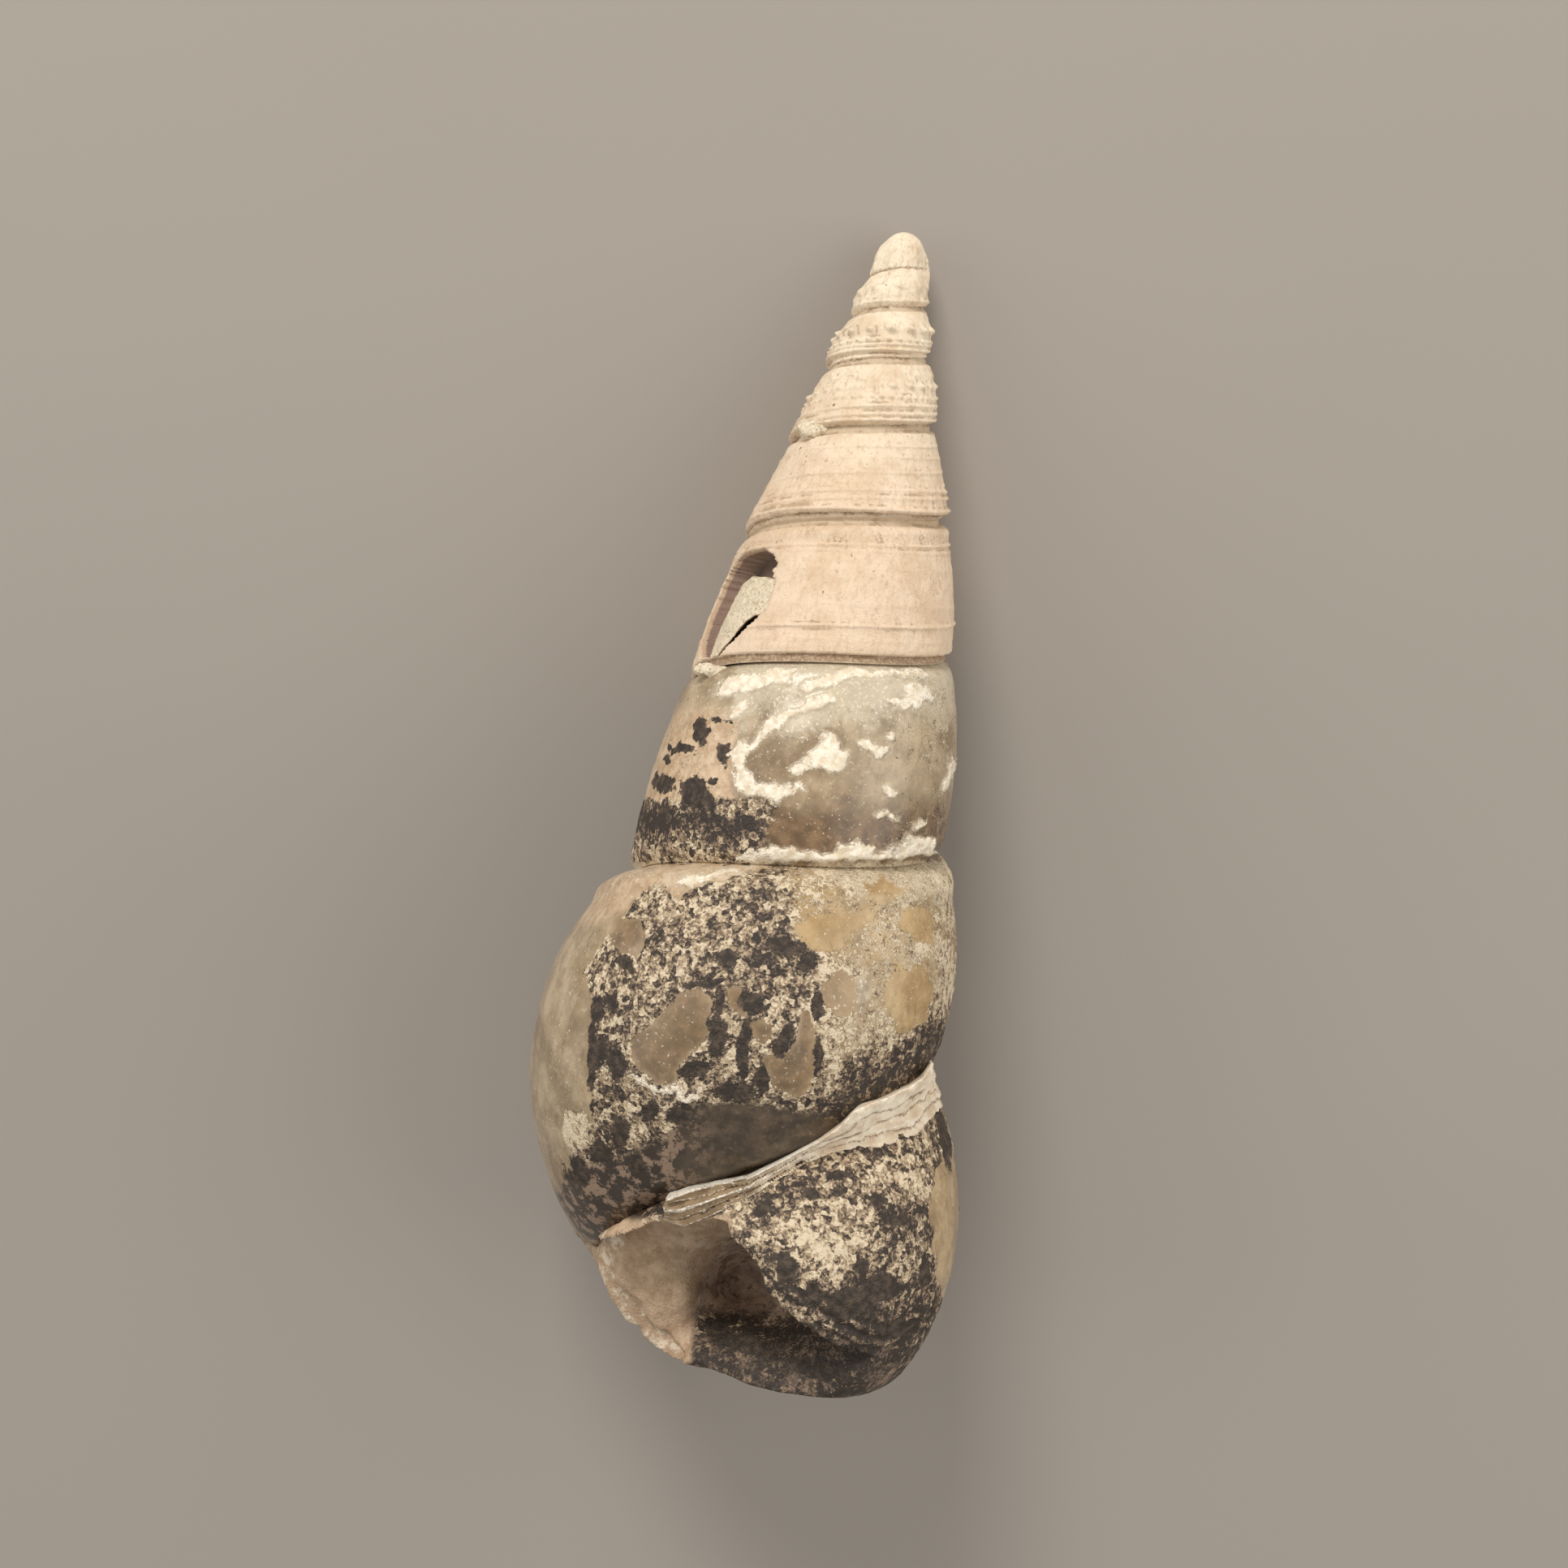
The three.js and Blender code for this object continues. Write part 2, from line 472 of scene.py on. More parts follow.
def net_of(field_of, low, high, step):
    # The field is worked out in parts, to save memory
    points, shape = lattice(low, high, step)
    field = np.concatenate([field_of(part) for part in np.array_split(points, 24)]).reshape(shape)
    points, quads = lay_net(field, low, step)
    return points, quads, field


ball_points, ball_shape = lattice(-np.ones(3), np.ones(3), 0.25)
ball = np.linalg.norm(ball_points, axis=1).reshape(ball_shape) - 0.7
print("a small ball gets", len(lay_net(ball, -np.ones(3), 0.25)[1]), "quads")

# %% [markdown]
# ## Lines and outlines
# Many shapes below are cut along a line or an outline, so the distance to each is needed. An outline
# can be given as places on the photograph, each with a depth.

# %% Lines and outlines
def segment_distance(x, y, start, end):
    (ax, ay), (bx, by) = start, end
    share = np.clip(((x - ax) * (bx - ax) + (y - ay) * (by - ay)) / ((bx - ax) ** 2 + (by - ay) ** 2), 0, 1)
    return np.hypot(x - ax - share * (bx - ax), y - ay - share * (by - ay))


def line_distance(x, y, line):
    return np.minimum.reduce([segment_distance(x, y, *ends) for ends in zip(line[:-1], line[1:])])


def polygon_depth(x, y, outline):
    # Distance to the outline, positive inside
    nearest = np.full(x.shape, np.inf)
    inside = np.zeros(x.shape, bool)
    for (ax, ay), (bx, by) in zip(outline, np.roll(outline, -1, axis=0)):
        nearest = np.minimum(nearest, segment_distance(x, y, (ax, ay), (bx, by)))
        at = ax + (y - ay) * (bx - ax) / np.where(by == ay, 1e-9, by - ay)
        inside ^= ((ay > y) != (by > y)) & (x < at)
    return np.where(inside, nearest, -nearest)


def shell_outline(places):
    return np.array([shell_place(px, py, depth)[:2] for px, py, depth in places])


unit_square = np.array([(0, 0), (1, 0), (1, 1), (0, 1)], float)
print("depth in a unit square's middle", polygon_depth(np.full(1, 0.5), np.full(1, 0.5), unit_square))

# %% [markdown]
# ## Bent sheets
# A break that runs deeper in some places than in others is a sheet, bent as smoothly as possible
# through a few known depths. The weights come from one set of linear equations, and a little slack
# keeps close points from making a crease.

# %% Bent sheets
SHEET_SLACK = 0.02


def sheet(controls):
    placed = np.array([shell_place(px, py, depth) for px, py, depth in controls])

    def bend(x, y):
        apart = (x[:, None] - placed[None, :, 0]) ** 2 + (y[:, None] - placed[None, :, 1]) ** 2
        return apart * np.log(apart + 1e-9) / 2

    count = len(placed)
    flat = np.column_stack([np.ones(count), placed[:, :2]])
    system = np.block([[bend(placed[:, 0], placed[:, 1]) + SHEET_SLACK * np.eye(count), flat],
                       [flat.T, np.zeros((3, 3))]])
    weights = np.linalg.solve(system, np.concatenate([placed[:, 2], np.zeros(3)]))
    return lambda x, y: bend(x, y) @ weights[:count] + weights[count] + x * weights[-2] + y * weights[-1]


LEVEL_PLACES = [(900, 900, 1), (1000, 900, 1), (950, 1000, 1)]
level_sheet = sheet(LEVEL_PLACES)
print("a level sheet lies at", level_sheet(np.zeros(1), np.full(1, -20.0)).round(2), "mm")

# %% [markdown]
# ## Small helpers for materials
# A material is a chain of nodes. These helpers add a node and wire its inputs by name, so each
# finish below reads as a short list of steps. Colours are written as a screen shows them, from 0 to
# 255, and turned into the linear values that a shader works in.

# %% Node helpers
def to_linear(red, green, blue):
    shares = [channel / 255 for channel in (red, green, blue)]
    return [s / 12.92 if s <= 0.04045 else ((s + 0.055) / 1.055) ** 2.4 for s in shares] + [1.0]


class NodeTree:
    def __init__(self, name):
        self.material = bpy.data.materials.new(name)
        self.material.use_nodes = True
        self.tree = self.material.node_tree
        self.shader = self.tree.nodes["Principled BSDF"]
        self.place = self.add("ShaderNodeTexCoord").outputs["Object"]

    def fill(self, node, key, value):
        if isinstance(value, bpy.types.NodeSocket):
            self.tree.links.new(value, node.inputs[key])
        else:
            node.inputs[key].default_value = value

    def add(self, kind, inputs=None, **settings):
        node = self.tree.nodes.new(kind)
        for key, value in settings.items():
            setattr(node, key, value)
        for key, value in (inputs or {}).items():
            self.fill(node, key, value)
        return node

    def wire(self, **sockets):
        for key, value in sockets.items():
            self.fill(self.shader, key.replace("_", " "), value)
        return self.material


print("middle grey on a screen is", round(to_linear(128, 128, 128)[0], 2), "to a shader")

# %% [markdown]
# The next helpers make masks: a field read from the mesh, noise at a size in millimetres, sums and
# products of the two, and a soft step. Each hands back the output to wire on.

# %% Masks
class Finish(NodeTree):
    def field(self, name):
        return self.add("ShaderNodeAttribute", attribute_name=name).outputs["Fac"]

    def noise(self, size_mm, detail=4.0, roughness=0.55, stretch=None):
        place = self.place
        if stretch:
            place = self.add("ShaderNodeMapping", {"Vector": place, "Scale": stretch}).outputs["Vector"]
        inputs = {"Vector": place, "Scale": 1 / (size_mm * MM), "Detail": detail, "Roughness": roughness}
        return self.add("ShaderNodeTexNoise", inputs).outputs["Fac"]

    def math(self, kind, first, second):
        return self.add("ShaderNodeMath", {0: first, 1: second}, operation=kind).outputs[0]

    def sum(self, first, second, share=1.0):
        return self.math("ADD", first, self.times(second, share))

    def times(self, value, share):
        return value if isinstance(share, float) and share == 1.0 else self.math("MULTIPLY", value, share)

    def ragged(self, size_mm, detail, roughness):
        # Noise that swings both ways round zero, to pull an edge about
        return self.math("SUBTRACT", self.noise(size_mm, detail, roughness), 0.5)

    def spread(self, value, low, high, to_low=0.0, to_high=1.0):
        inputs = {"Value": value, "From Min": low, "From Max": high, "To Min": to_low, "To Max": to_high}
        return self.add("ShaderNodeMapRange", inputs, interpolation_type="SMOOTHSTEP").outputs["Result"]

    def bump(self, height, distance_mm, strength=1.0, under=None):
        inputs = {"Height": height, "Distance": distance_mm * MM, "Strength": strength}
        if under:
            inputs["Normal"] = under
        return self.add("ShaderNodeBump", inputs).outputs["Normal"]


print(len([name for name in vars(Finish) if not name.startswith("_")]), "mask helpers")

# %% [markdown]
# Four more helpers do most of the colouring. `blend` mixes two colours by a share. `cloudy` lets
# two colours drift into each other. `stain` lays a tint over a colour wherever a mask rises above a
# level, and the level can be sharp or soft. `cells` splits the surface into small cells, each with a
# tone of its own.

# %% Colour helpers
def colour_of(value):
    return to_linear(*value) if isinstance(value, tuple) else value


class Colouring(Finish):
    def blend(self, share, first, second):
        node = self.add("ShaderNodeMix", data_type="RGBA", blend_type="MIX")
        for index, value in ((0, share), (6, colour_of(first)), (7, colour_of(second))):
            self.fill(node, index, value)
        return node.outputs[2]

    def cloudy(self, noise, low, high, first, second):
        return self.blend(self.spread(noise, low, high), first, second)

    def stain(self, colour, mask, low, high, tint, strength=1.0):
        return self.blend(self.spread(mask, low, high, 0, strength), colour, tint)

    def cells(self, size_mm, place=None):
        inputs = {"Vector": place or self.place, "Scale": 1 / (size_mm * MM)}
        cells = self.add("ShaderNodeTexVoronoi", inputs)
        tone = self.add("ShaderNodeSeparateColor", {"Color": cells.outputs["Color"]}).outputs[0]
        return tone, cells.outputs["Distance"]


print("warm white is", [round(share, 2) for share in colour_of((247, 232, 205))])

# %% [markdown]
# ## Dirt and painted shade on the chalky shell
# The shell wall has lost its gloss and turned to chalk, which takes up dirt. Grit sits in the grooves and
# stains them brown, and soil lies in patches. The hollows between the cords are darker, partly grit and
# partly painted shade. Right under each rim the wall is darker still, and darkest under the rim of the last
# whorl: partly grit, partly painted shadow of the rim. Fine noise is added to each field before it is cut
# off, so dirt and painted shade end in grains.

# %% Dirt, grains and painted shade on the chalky shell
# The hollow, grit and rim tones darken partly as grit and partly as painted shade and shadow
CHALK_TONES = {
    "tip": (247, 232, 205), "lower": (240, 216, 188), "cloud": (218, 188, 154), "line": (214, 183, 150),
    "groove": (202, 181, 153), "soil": (184, 152, 118), "hollows": (166, 140, 110), "grit": (136, 113, 88),
    "rim": (150, 120, 92), "grain": (176, 142, 108), "light grain": (252, 240, 218), "pit": (140, 100, 66),
    "wall": (206, 176, 146), "lining": (146, 121, 106), "depth": (126, 106, 94),
}


def chalk_dirt_and_shade(finish, colour, fine):
    tones = CHALK_TONES
    patches = finish.spread(finish.noise(0.9, 3.0, 0.6), 0.36, 0.62)
    groove = finish.sum(finish.field("groove"), fine, 1.2)
    colour = finish.stain(colour, groove, 0.3, 0.9, tones["groove"], 0.8)
    soil = finish.spread(finish.noise(0.9, 4.0, 0.65, (1.3, 0.8, 1.3)), 0.52, 0.7, 0, 0.55)
    colour = finish.blend(finish.times(soil, finish.spread(fine, -0.05, 0.12)), colour, tones["soil"])
    # Hollows between the cords: partly grit, partly painted shade in the recesses
    hollows = finish.sum(finish.times(finish.field("cavity"), patches), fine, 1.4)
    colour = finish.stain(colour, hollows, 0.3, 0.95, tones["hollows"], 0.65)
    # Grit right under each rim, darkened further as painted shadow of the rim
    grit = finish.sum(finish.sum(finish.field("grit"), fine, 2.4), patches, 0.35)
    colour = finish.stain(colour, grit, 0.75, 1.25, tones["grit"], 0.9)
    # Darkest strip under the last whorl's rim: partly grit, partly painted shadow
    rim = finish.sum(finish.field("rim"), fine, 2.0)
    return finish.stain(colour, rim, 0.6, 1.2, tones["rim"], 0.85), grit


def chalk_grains(finish, colour):
    tones = CHALK_TONES
    colour = finish.stain(colour, finish.noise(0.11, 3.0, 0.6), 0.67, 0.73, tones["grain"], 0.7)
    light = finish.noise(0.10, 3.0, 0.6, (1.1, 0.9, 1.0))
    colour = finish.stain(colour, light, 0.68, 0.72, tones["light grain"], 0.6)
    pits = finish.noise(0.26, 2.0, 0.6, (1.3, 0.7, 1.3))
    return finish.stain(colour, pits, 0.737, 0.76, tones["pit"], 0.85)


print("chalky shell in", len(CHALK_TONES), "tones")

# %% [markdown]
# ## Chalky shell
# The wall is nearly white at the tip and pinker lower down. Growth lines run down each whorl, so one fine
# noise is stretched along the axis. Inside the hole the wall first shows its pale thickness, and further in
# it is painted dark in two steps: painted shade standing in for the hollow behind.

# %% Chalky shell finish
def chalky_shell():
    finish, tones = Colouring("chalky_shell"), CHALK_TONES
    pale = finish.cloudy(finish.field("drop"), 2, 14, tones["tip"], tones["lower"])
    pale = finish.stain(pale, finish.noise(1.6, 5.0, 0.6), 0.4, 0.68, tones["cloud"], 0.6)
    lines = finish.noise(0.16, 3.0, 0.6, (1.0, 0.1, 1.0))
    pale = finish.stain(pale, lines, 0.48, 0.68, tones["line"], 0.5)
    fine = finish.ragged(0.12, 5.0, 0.7)
    colour, grit = chalk_dirt_and_shade(finish, pale, fine)
    colour = chalk_grains(finish, colour)
    wall = finish.sum(finish.field("inside"), fine, 0.1)
    # Pale wall thickness at the edge of the hole, then two steps of painted shade further in
    for low, high, tone in ((0.02, 0.10, "wall"), (0.16, 0.24, "lining"), (0.6, 1.0, "depth")):
        colour = finish.stain(colour, wall, low, high, tones[tone])
    normal = finish.bump(lines, 0.04, 0.8)
    normal = finish.bump(finish.noise(0.07, 4.0, 0.6), 0.025, 0.8, normal)
    normal = finish.bump(grit, 0.04, 0.7, normal)
    normal = finish.bump(finish.noise(0.35, 4.0), 0.05, 0.6, normal)
    return finish.wire(Base_Color=colour, Roughness=0.85, Normal=normal, Specular_IOR_Level=0.25)


chalk = chalky_shell()
print("finish", chalk.name, "with", len(chalk.node_tree.nodes), "nodes")

# %% [markdown]
# ## Layered shell
# Where the wall is broken along the lowest seam its layers show, cream on the right and olive on the old left
# end. Below each step it is darker, partly dirt and partly painted shadow, and each torn edge carries a
# painted highlight.

# %% Layered shell finish
def layered_shell():
    finish = Colouring("layered_shell")
    cloud = finish.spread(finish.noise(0.7, 5.0, 0.6), 0.35, 0.66)
    cream = finish.blend(cloud, (252, 240, 218), (224, 202, 174))
    olive = finish.blend(cloud, (160, 138, 109), (124, 104, 79))
    colour = finish.blend(finish.field("old"), cream, olive)
    fine = finish.ragged(0.14, 5.0, 0.65)
    # Darker below each step and in the ridge troughs: partly dirt, partly painted shadow and shade
    dirt_and_shadow = finish.sum(finish.field("groove"), fine, 1.2)
    colour = finish.stain(colour, dirt_and_shadow, 0.3, 0.8, (146, 118, 90), 0.85)
    colour = finish.stain(colour, dirt_and_shadow, 0.8, 1.1, (84, 68, 54))
    # Painted highlights along the torn edges and on the ridge crests
    edge_highlights = finish.sum(finish.field("edge"), fine, 1.2)
    colour = finish.stain(colour, edge_highlights, 0.45, 0.85, (252, 244, 228), 0.9)
    colour = finish.stain(colour, finish.noise(0.2, 5.0, 0.7), 0.6, 0.68, (244, 234, 214), 0.6)
    normal = finish.bump(finish.noise(0.08, 4.0, 0.6), 0.03, 0.8)
    normal = finish.bump(finish.noise(0.3, 4.0, 0.6), 0.06, 0.6, normal)
    return finish.wire(Base_Color=colour, Roughness=0.7, Normal=normal, Specular_IOR_Level=0.3)


layered = layered_shell()
print("finish", layered.name)

# %% [markdown]
# ## Grit
# The plug in the hole and the lumps on the wall are hardened sand. Each grain is one cell of a broken-up
# pattern with its own tone, and a few are darker. Along the crack the grit is painted dark, as painted shade
# in the crack.

# %% Grit finish
def grit_finish():
    finish = Colouring("grit")
    tone, grain_height = finish.cells(0.08)
    colour = finish.cloudy(tone, 0.0, 0.8, (206, 190, 162), (230, 216, 190))
    colour = finish.stain(colour, tone, 0.92, 0.96, (150, 134, 110), 0.7)
    colour = finish.stain(colour, finish.noise(0.5, 5.0, 0.65), 0.52, 0.75, (176, 154, 120), 0.6)
    # Painted shade inside the crack
    crack = finish.sum(finish.field("crack"), finish.ragged(0.12, 4.0, 0.65))
    colour = finish.stain(colour, crack, 0.35, 0.7, (88, 72, 56))
    normal = finish.bump(grain_height, 0.03, 0.6)
    normal = finish.bump(finish.noise(0.3, 4.0), 0.05, 0.5, normal)
    return finish.wire(Base_Color=colour, Roughness=0.9, Normal=normal, Specular_IOR_Level=0.3)


gritstone = grit_finish()
print("finish", gritstone.name)

# %% [markdown]
# ## Stone cast
# Under the lost shell lies the stone that filled it. Its finish is built up in the order in which
# the real one grew: bare stone, mineral crust, black stains, the broken lip, and last the chalk
# that still sticks on. Every layer has a field on the mesh. The finish adds finer grain to that
# field before it cuts it off, so an edge is ragged even between two points of the mesh.
#
# Bare stone is grey to amber and slightly glassy, with milky veils, a white film near the chalk,
# and small light and dark specks.

# %% Bare stone
def bare_stone(finish):
    cloud = finish.spread(finish.noise(1.5, 4.0, 0.6), 0.3, 0.7)
    grey = finish.blend(cloud, (140, 121, 96), (190, 170, 140))
    amber = finish.blend(cloud, (158, 128, 86), (196, 168, 124))
    stone = finish.blend(finish.field("warmth"), grey, amber)
    brown = finish.cloudy(finish.noise(0.6, 4.0), 0.35, 0.7, (98, 77, 56), (140, 112, 82))
    stone = finish.blend(finish.field("brown"), stone, brown)
    tan = finish.cloudy(finish.noise(0.5, 5.0, 0.65), 0.35, 0.65, (190, 158, 124), (222, 196, 164))
    stone = finish.blend(finish.field("tan"), stone, tan)
    stone = finish.stain(stone, finish.noise(0.35, 5.0, 0.65), 0.56, 0.72, (214, 198, 168), 0.35)
    streaks = finish.noise(0.5, 5.0, 0.65, (1.4, 0.5, 1.4))
    stone = finish.stain(stone, streaks, 0.5, 0.72, (112, 94, 70), 0.45)
    film = finish.sum(finish.field("film"), finish.ragged(0.4, 6.0, 0.7))
    stone = finish.stain(stone, film, 0.3, 0.75, (216, 203, 178), 0.65)
    halo = finish.sum(finish.field("chalk"), finish.ragged(0.25, 6.0, 0.7))
    stone = finish.stain(stone, halo, 0.2, 0.55, (218, 204, 180), 0.45)
    flecks = finish.sum(finish.noise(0.13, 3.0, 0.65), finish.field("film"), 0.10)
    stone = finish.stain(stone, flecks, 0.645, 0.69, (232, 219, 194), 0.85)
    specks = finish.noise(0.12, 3.0, 0.6, (1.1, 0.9, 1.0))
    return finish.stain(stone, specks, 0.66, 0.72, (96, 78, 58), 0.6)


print("bare stone ready")

# %% [markdown]
# The crust is pepper and salt. Two sizes of cells, bent out of shape by a swirl, give each grain a
# tone of its own, and a ramp turns the tone into a colour from black through tan to cream.

# %% Mineral crust
CRUST_TONES = [(0.26, (52, 42, 34)), (0.37, (80, 66, 53)), (0.47, (116, 97, 78)), (0.57, (150, 128, 102)),
               (0.68, (180, 158, 127)), (0.88, (224, 206, 176))]


def mineral_crust(finish, fine):
    swirl = finish.add("ShaderNodeTexNoise", {"Vector": finish.place, "Scale": 1 / (0.2 * MM), "Detail": 3.0})
    warp = {0: swirl.outputs["Color"], 1: (0.22 * MM,) * 3, 2: finish.place}
    bent = finish.add("ShaderNodeVectorMath", warp, operation="MULTIPLY_ADD").outputs["Vector"]
    large_tone, _ = finish.cells(0.25, bent)
    small_tone, pebbles = finish.cells(0.09, bent)
    tone = finish.sum(finish.times(large_tone, 0.55), small_tone, 0.45)
    tone = finish.sum(finish.sum(tone, finish.field("tone")), fine, 0.5)
    ramp = finish.add("ShaderNodeValToRGB", {"Fac": tone})
    while len(ramp.color_ramp.elements) < len(CRUST_TONES):
        ramp.color_ramp.elements.new(0.5)
    for element, (place, colour) in zip(ramp.color_ramp.elements, CRUST_TONES):
        element.position = place
        element.color = to_linear(*colour)
    return ramp.outputs["Color"], pebbles


print("crust ramp of", len(CRUST_TONES), "tones")

# %% [markdown]
# Low on each whorl the crust closes to a dark, smooth skin, plain in some places and mottled in others. It is
# partly real skin and partly painted shade on the lower side of each whorl. The black blobs are thicker spots
# of the same skin.

# %% Dark, smooth skin and painted shade
def skin_and_shade_colour(finish, colour, edge):
    plain = finish.cloudy(finish.noise(0.6, 6.0, 0.7), 0.38, 0.64, (60, 50, 41), (94, 79, 64))
    plain = finish.stain(plain, finish.noise(0.30, 5.0, 0.7), 0.60, 0.68, (132, 112, 92), 0.55)
    mottled = finish.cloudy(finish.noise(0.75, 7.0, 0.75), 0.50, 0.54, (50, 41, 34), (150, 126, 106))
    skin = finish.blend(finish.field("mottle"), plain, mottled)
    # The shade field darkens the lower parts to this skin: partly real skin, partly painted shade
    colour = finish.stain(colour, finish.sum(finish.field("shade"), edge), 0.3, 0.7, skin, 0.95)
    blob_tone = finish.cloudy(finish.noise(0.3, 4.0), 0.4, 0.7, (50, 41, 33), (88, 73, 59))
    blobs = finish.spread(finish.sum(finish.field("black"), edge), 0.46, 0.54)
    return finish.blend(blobs, colour, blob_tone), blobs


print("skin and shade ready")

# %% [markdown]
# The broken lip is pale brown with pores and veins. Its torn outer layer is frosted, and a scar
# crosses its top. The hollow beside it is browner and damp-looking.

# %% Lip and hollow
def lip_and_hollow(finish, colour):
    lip = finish.cloudy(finish.noise(1.0, 6.0, 0.65), 0.35, 0.65, (206, 178, 148), (170, 141, 112))
    frosted = finish.cloudy(finish.noise(0.5, 6.0, 0.7), 0.45, 0.62, (178, 150, 122), (220, 203, 178))
    lip = finish.blend(finish.field("outer"), lip, frosted)
    lip = finish.stain(lip, finish.noise(0.12, 3.0, 0.6), 0.66, 0.72, (126, 100, 76), 0.6)
    lip = finish.stain(lip, finish.noise(0.5, 5.0, 0.7, (1.0, 0.4, 1.0)), 0.56, 0.66, (142, 112, 84), 0.5)
    lip = finish.blend(finish.times(finish.field("scar"), 0.6), lip, (222, 202, 172))
    colour = finish.blend(finish.field("lip"), colour, lip)
    hollow = finish.cloudy(finish.noise(0.8, 5.0), 0.35, 0.7, (156, 132, 115), (212, 184, 159))
    hollow = finish.stain(hollow, finish.noise(0.3, 6.0, 0.7), 0.52, 0.62, (84, 68, 57), 0.7)
    return finish.blend(finish.field("hollow"), colour, hollow)


print("lip and hollow ready")

# %% [markdown]
# Chalk flakes are the last remains of the wall. Their thin edges are darker, because the stone
# shows through. Chalk, lip and blobs are matt, bare stone is smoother.

# %% Chalk flakes and the whole stone finish
def chalk_flakes(finish, colour, edge):
    height = finish.sum(finish.field("chalk"), edge, 1.25)
    tone = finish.spread(finish.noise(0.3, 5.0, 0.65), 0.36, 0.62)
    flakes = finish.blend(tone, (222, 204, 176), (248, 238, 218))
    flakes = finish.stain(flakes, finish.noise(0.5, 6.0, 0.7), 0.57, 0.68, (184, 160, 128), 0.65)
    flakes = finish.stain(flakes, height, 0.62, 0.5, (196, 174, 142), 0.5)
    mask = finish.spread(height, 0.46, 0.53)
    return finish.blend(mask, colour, flakes), mask, tone


def stone_cast():
    finish = Colouring("stone_cast")
    fine = finish.ragged(0.13, 4.0, 0.65)
    edge = finish.sum(finish.times(fine, 0.9), finish.ragged(0.05, 3.0, 0.6), 0.45)
    crust_colour, pebbles = mineral_crust(finish, fine)
    crust = finish.spread(finish.sum(finish.field("crust"), edge), 0.42, 0.5)
    colour = finish.blend(crust, bare_stone(finish), crust_colour)
    colour, blobs = skin_and_shade_colour(finish, colour, edge)
    colour = lip_and_hollow(finish, colour)
    colour, flakes, flake_tone = chalk_flakes(finish, colour, edge)
    matt = finish.math("MAXIMUM", finish.field("lip"), flakes)
    matt = finish.math("MAXIMUM", matt, finish.times(blobs, 0.8))
    matt = finish.math("MAXIMUM", matt, finish.field("hollow"))
    rough = finish.math("MAXIMUM", finish.spread(crust, 0, 1, 0.27, 0.6), finish.times(matt, 0.85))
    normal = finish.bump(finish.noise(0.12, 4.0), 0.03, 0.3)
    normal = finish.bump(finish.times(pebbles, crust), 0.05, 0.8, normal)
    normal = finish.bump(flake_tone, 0.03, finish.times(flakes, 0.4), normal)
    normal = finish.bump(flakes, 0.05, 0.5, normal)
    return finish.wire(Base_Color=colour, Roughness=rough, Normal=normal)


stone = stone_cast()
print("finish", stone.name, "with", len(stone.node_tree.nodes), "nodes")

# %% [markdown]
# ## Chalky spire
# The first six whorls still have their wall. Spiral cords run along the lower part of each, and the
# young whorls carry small beads on them. Each cord is one line in a table, read off the photograph:
# whorl, place across it, height and width in millimetres, and beads in a turn.

# %% Table of cords
CORDS = [
    (1, 0.50, 0.09, 0.17, 10), (1, 0.88, 0.07, 0.07, 0),
    (2, 0.50, 0.22, 0.16, 15), (2, 0.74, 0.12, 0.06, 30), (2, 0.83, 0.08, 0.05, 0), (2, 0.93, 0.09, 0.06, 0),
    (3, 0.28, 0.07, 0.20, 15), (3, 0.47, 0.15, 0.12, 22), (3, 0.62, 0.11, 0.07, 44), (3, 0.76, 0.09, 0.06, 0),
    (3, 0.86, 0.09, 0.06, 0), (3, 0.955, 0.12, 0.08, 0),
    (4, 0.08, 0.04, 0.05, 0), (4, 0.225, 0.05, 0.05, 0), (4, 0.36, 0.03, 0.05, 0), (4, 0.50, 0.05, 0.06, 0),
    (4, 0.62, 0.04, 0.06, 40), (4, 0.70, 0.08, 0.08, 0), (4, 0.77, 0.08, 0.07, 0), (4, 0.88, 0.13, 0.08, 0),
    (5, 0.085, 0.10, 0.26, 0), (5, 0.165, 0.09, 0.05, 0), (5, 0.21, 0.04, 0.05, 0), (5, 0.35, 0.015, 0.1, 0),
    (5, 0.60, 0.02, 0.12, 0), (5, 0.74, 0.09, 0.06, 0), (5, 0.83, 0.02, 0.1, 0), (5, 0.90, 0.04, 0.22, 0),
]
WOBBLE, BEAD_LOW, BEAD_HIGH = 0.012, 0.2, 1.2


def cord_height(points, turn, across, whorl):
    height = np.zeros(len(points))
    pitch = whorl_pitch(turn)
    for number, place, rise, width, beads in CORDS:
        near = whorl == number
        wobble = WOBBLE * np.sin(7 * turn[near] + place * 20)
        ridge = np.exp(-((across[near] - place - wobble) * pitch[near] / width) ** 2)
        if beads:
            phase = 2 * math.pi * beads * turn[near] + 9 * across[near] + 2 * grain(points[near], 1.5, 14, 2)
            ridge = ridge * (BEAD_LOW + BEAD_HIGH * np.clip(np.sin(phase), 0, 1))
        height[near] += rise * ridge
    return height


print(len(CORDS), "cords")

# %% [markdown]
# ## Gritty grooves
# Under each whorl's rim the wall steps in to a tan, gritty groove before the next whorl starts. The
# table gives the start and the end of the groove under each whorl, in millimetres below the seam.

# %% Gritty grooves
GROOVES = np.array([
    (0, 0.04), (-0.05, 0.08), (0, 0.25), (0.16, 0.48), (0, 0.38), (-0.32, 0.22), (-0.34, 0.2),
])
DEPTH_TURNS, DEPTHS = [0, 1, 3, 4, 5], [0.05, 0.09, 0.15, 0.17, 0.11]
GRIT_REACH = 0.10


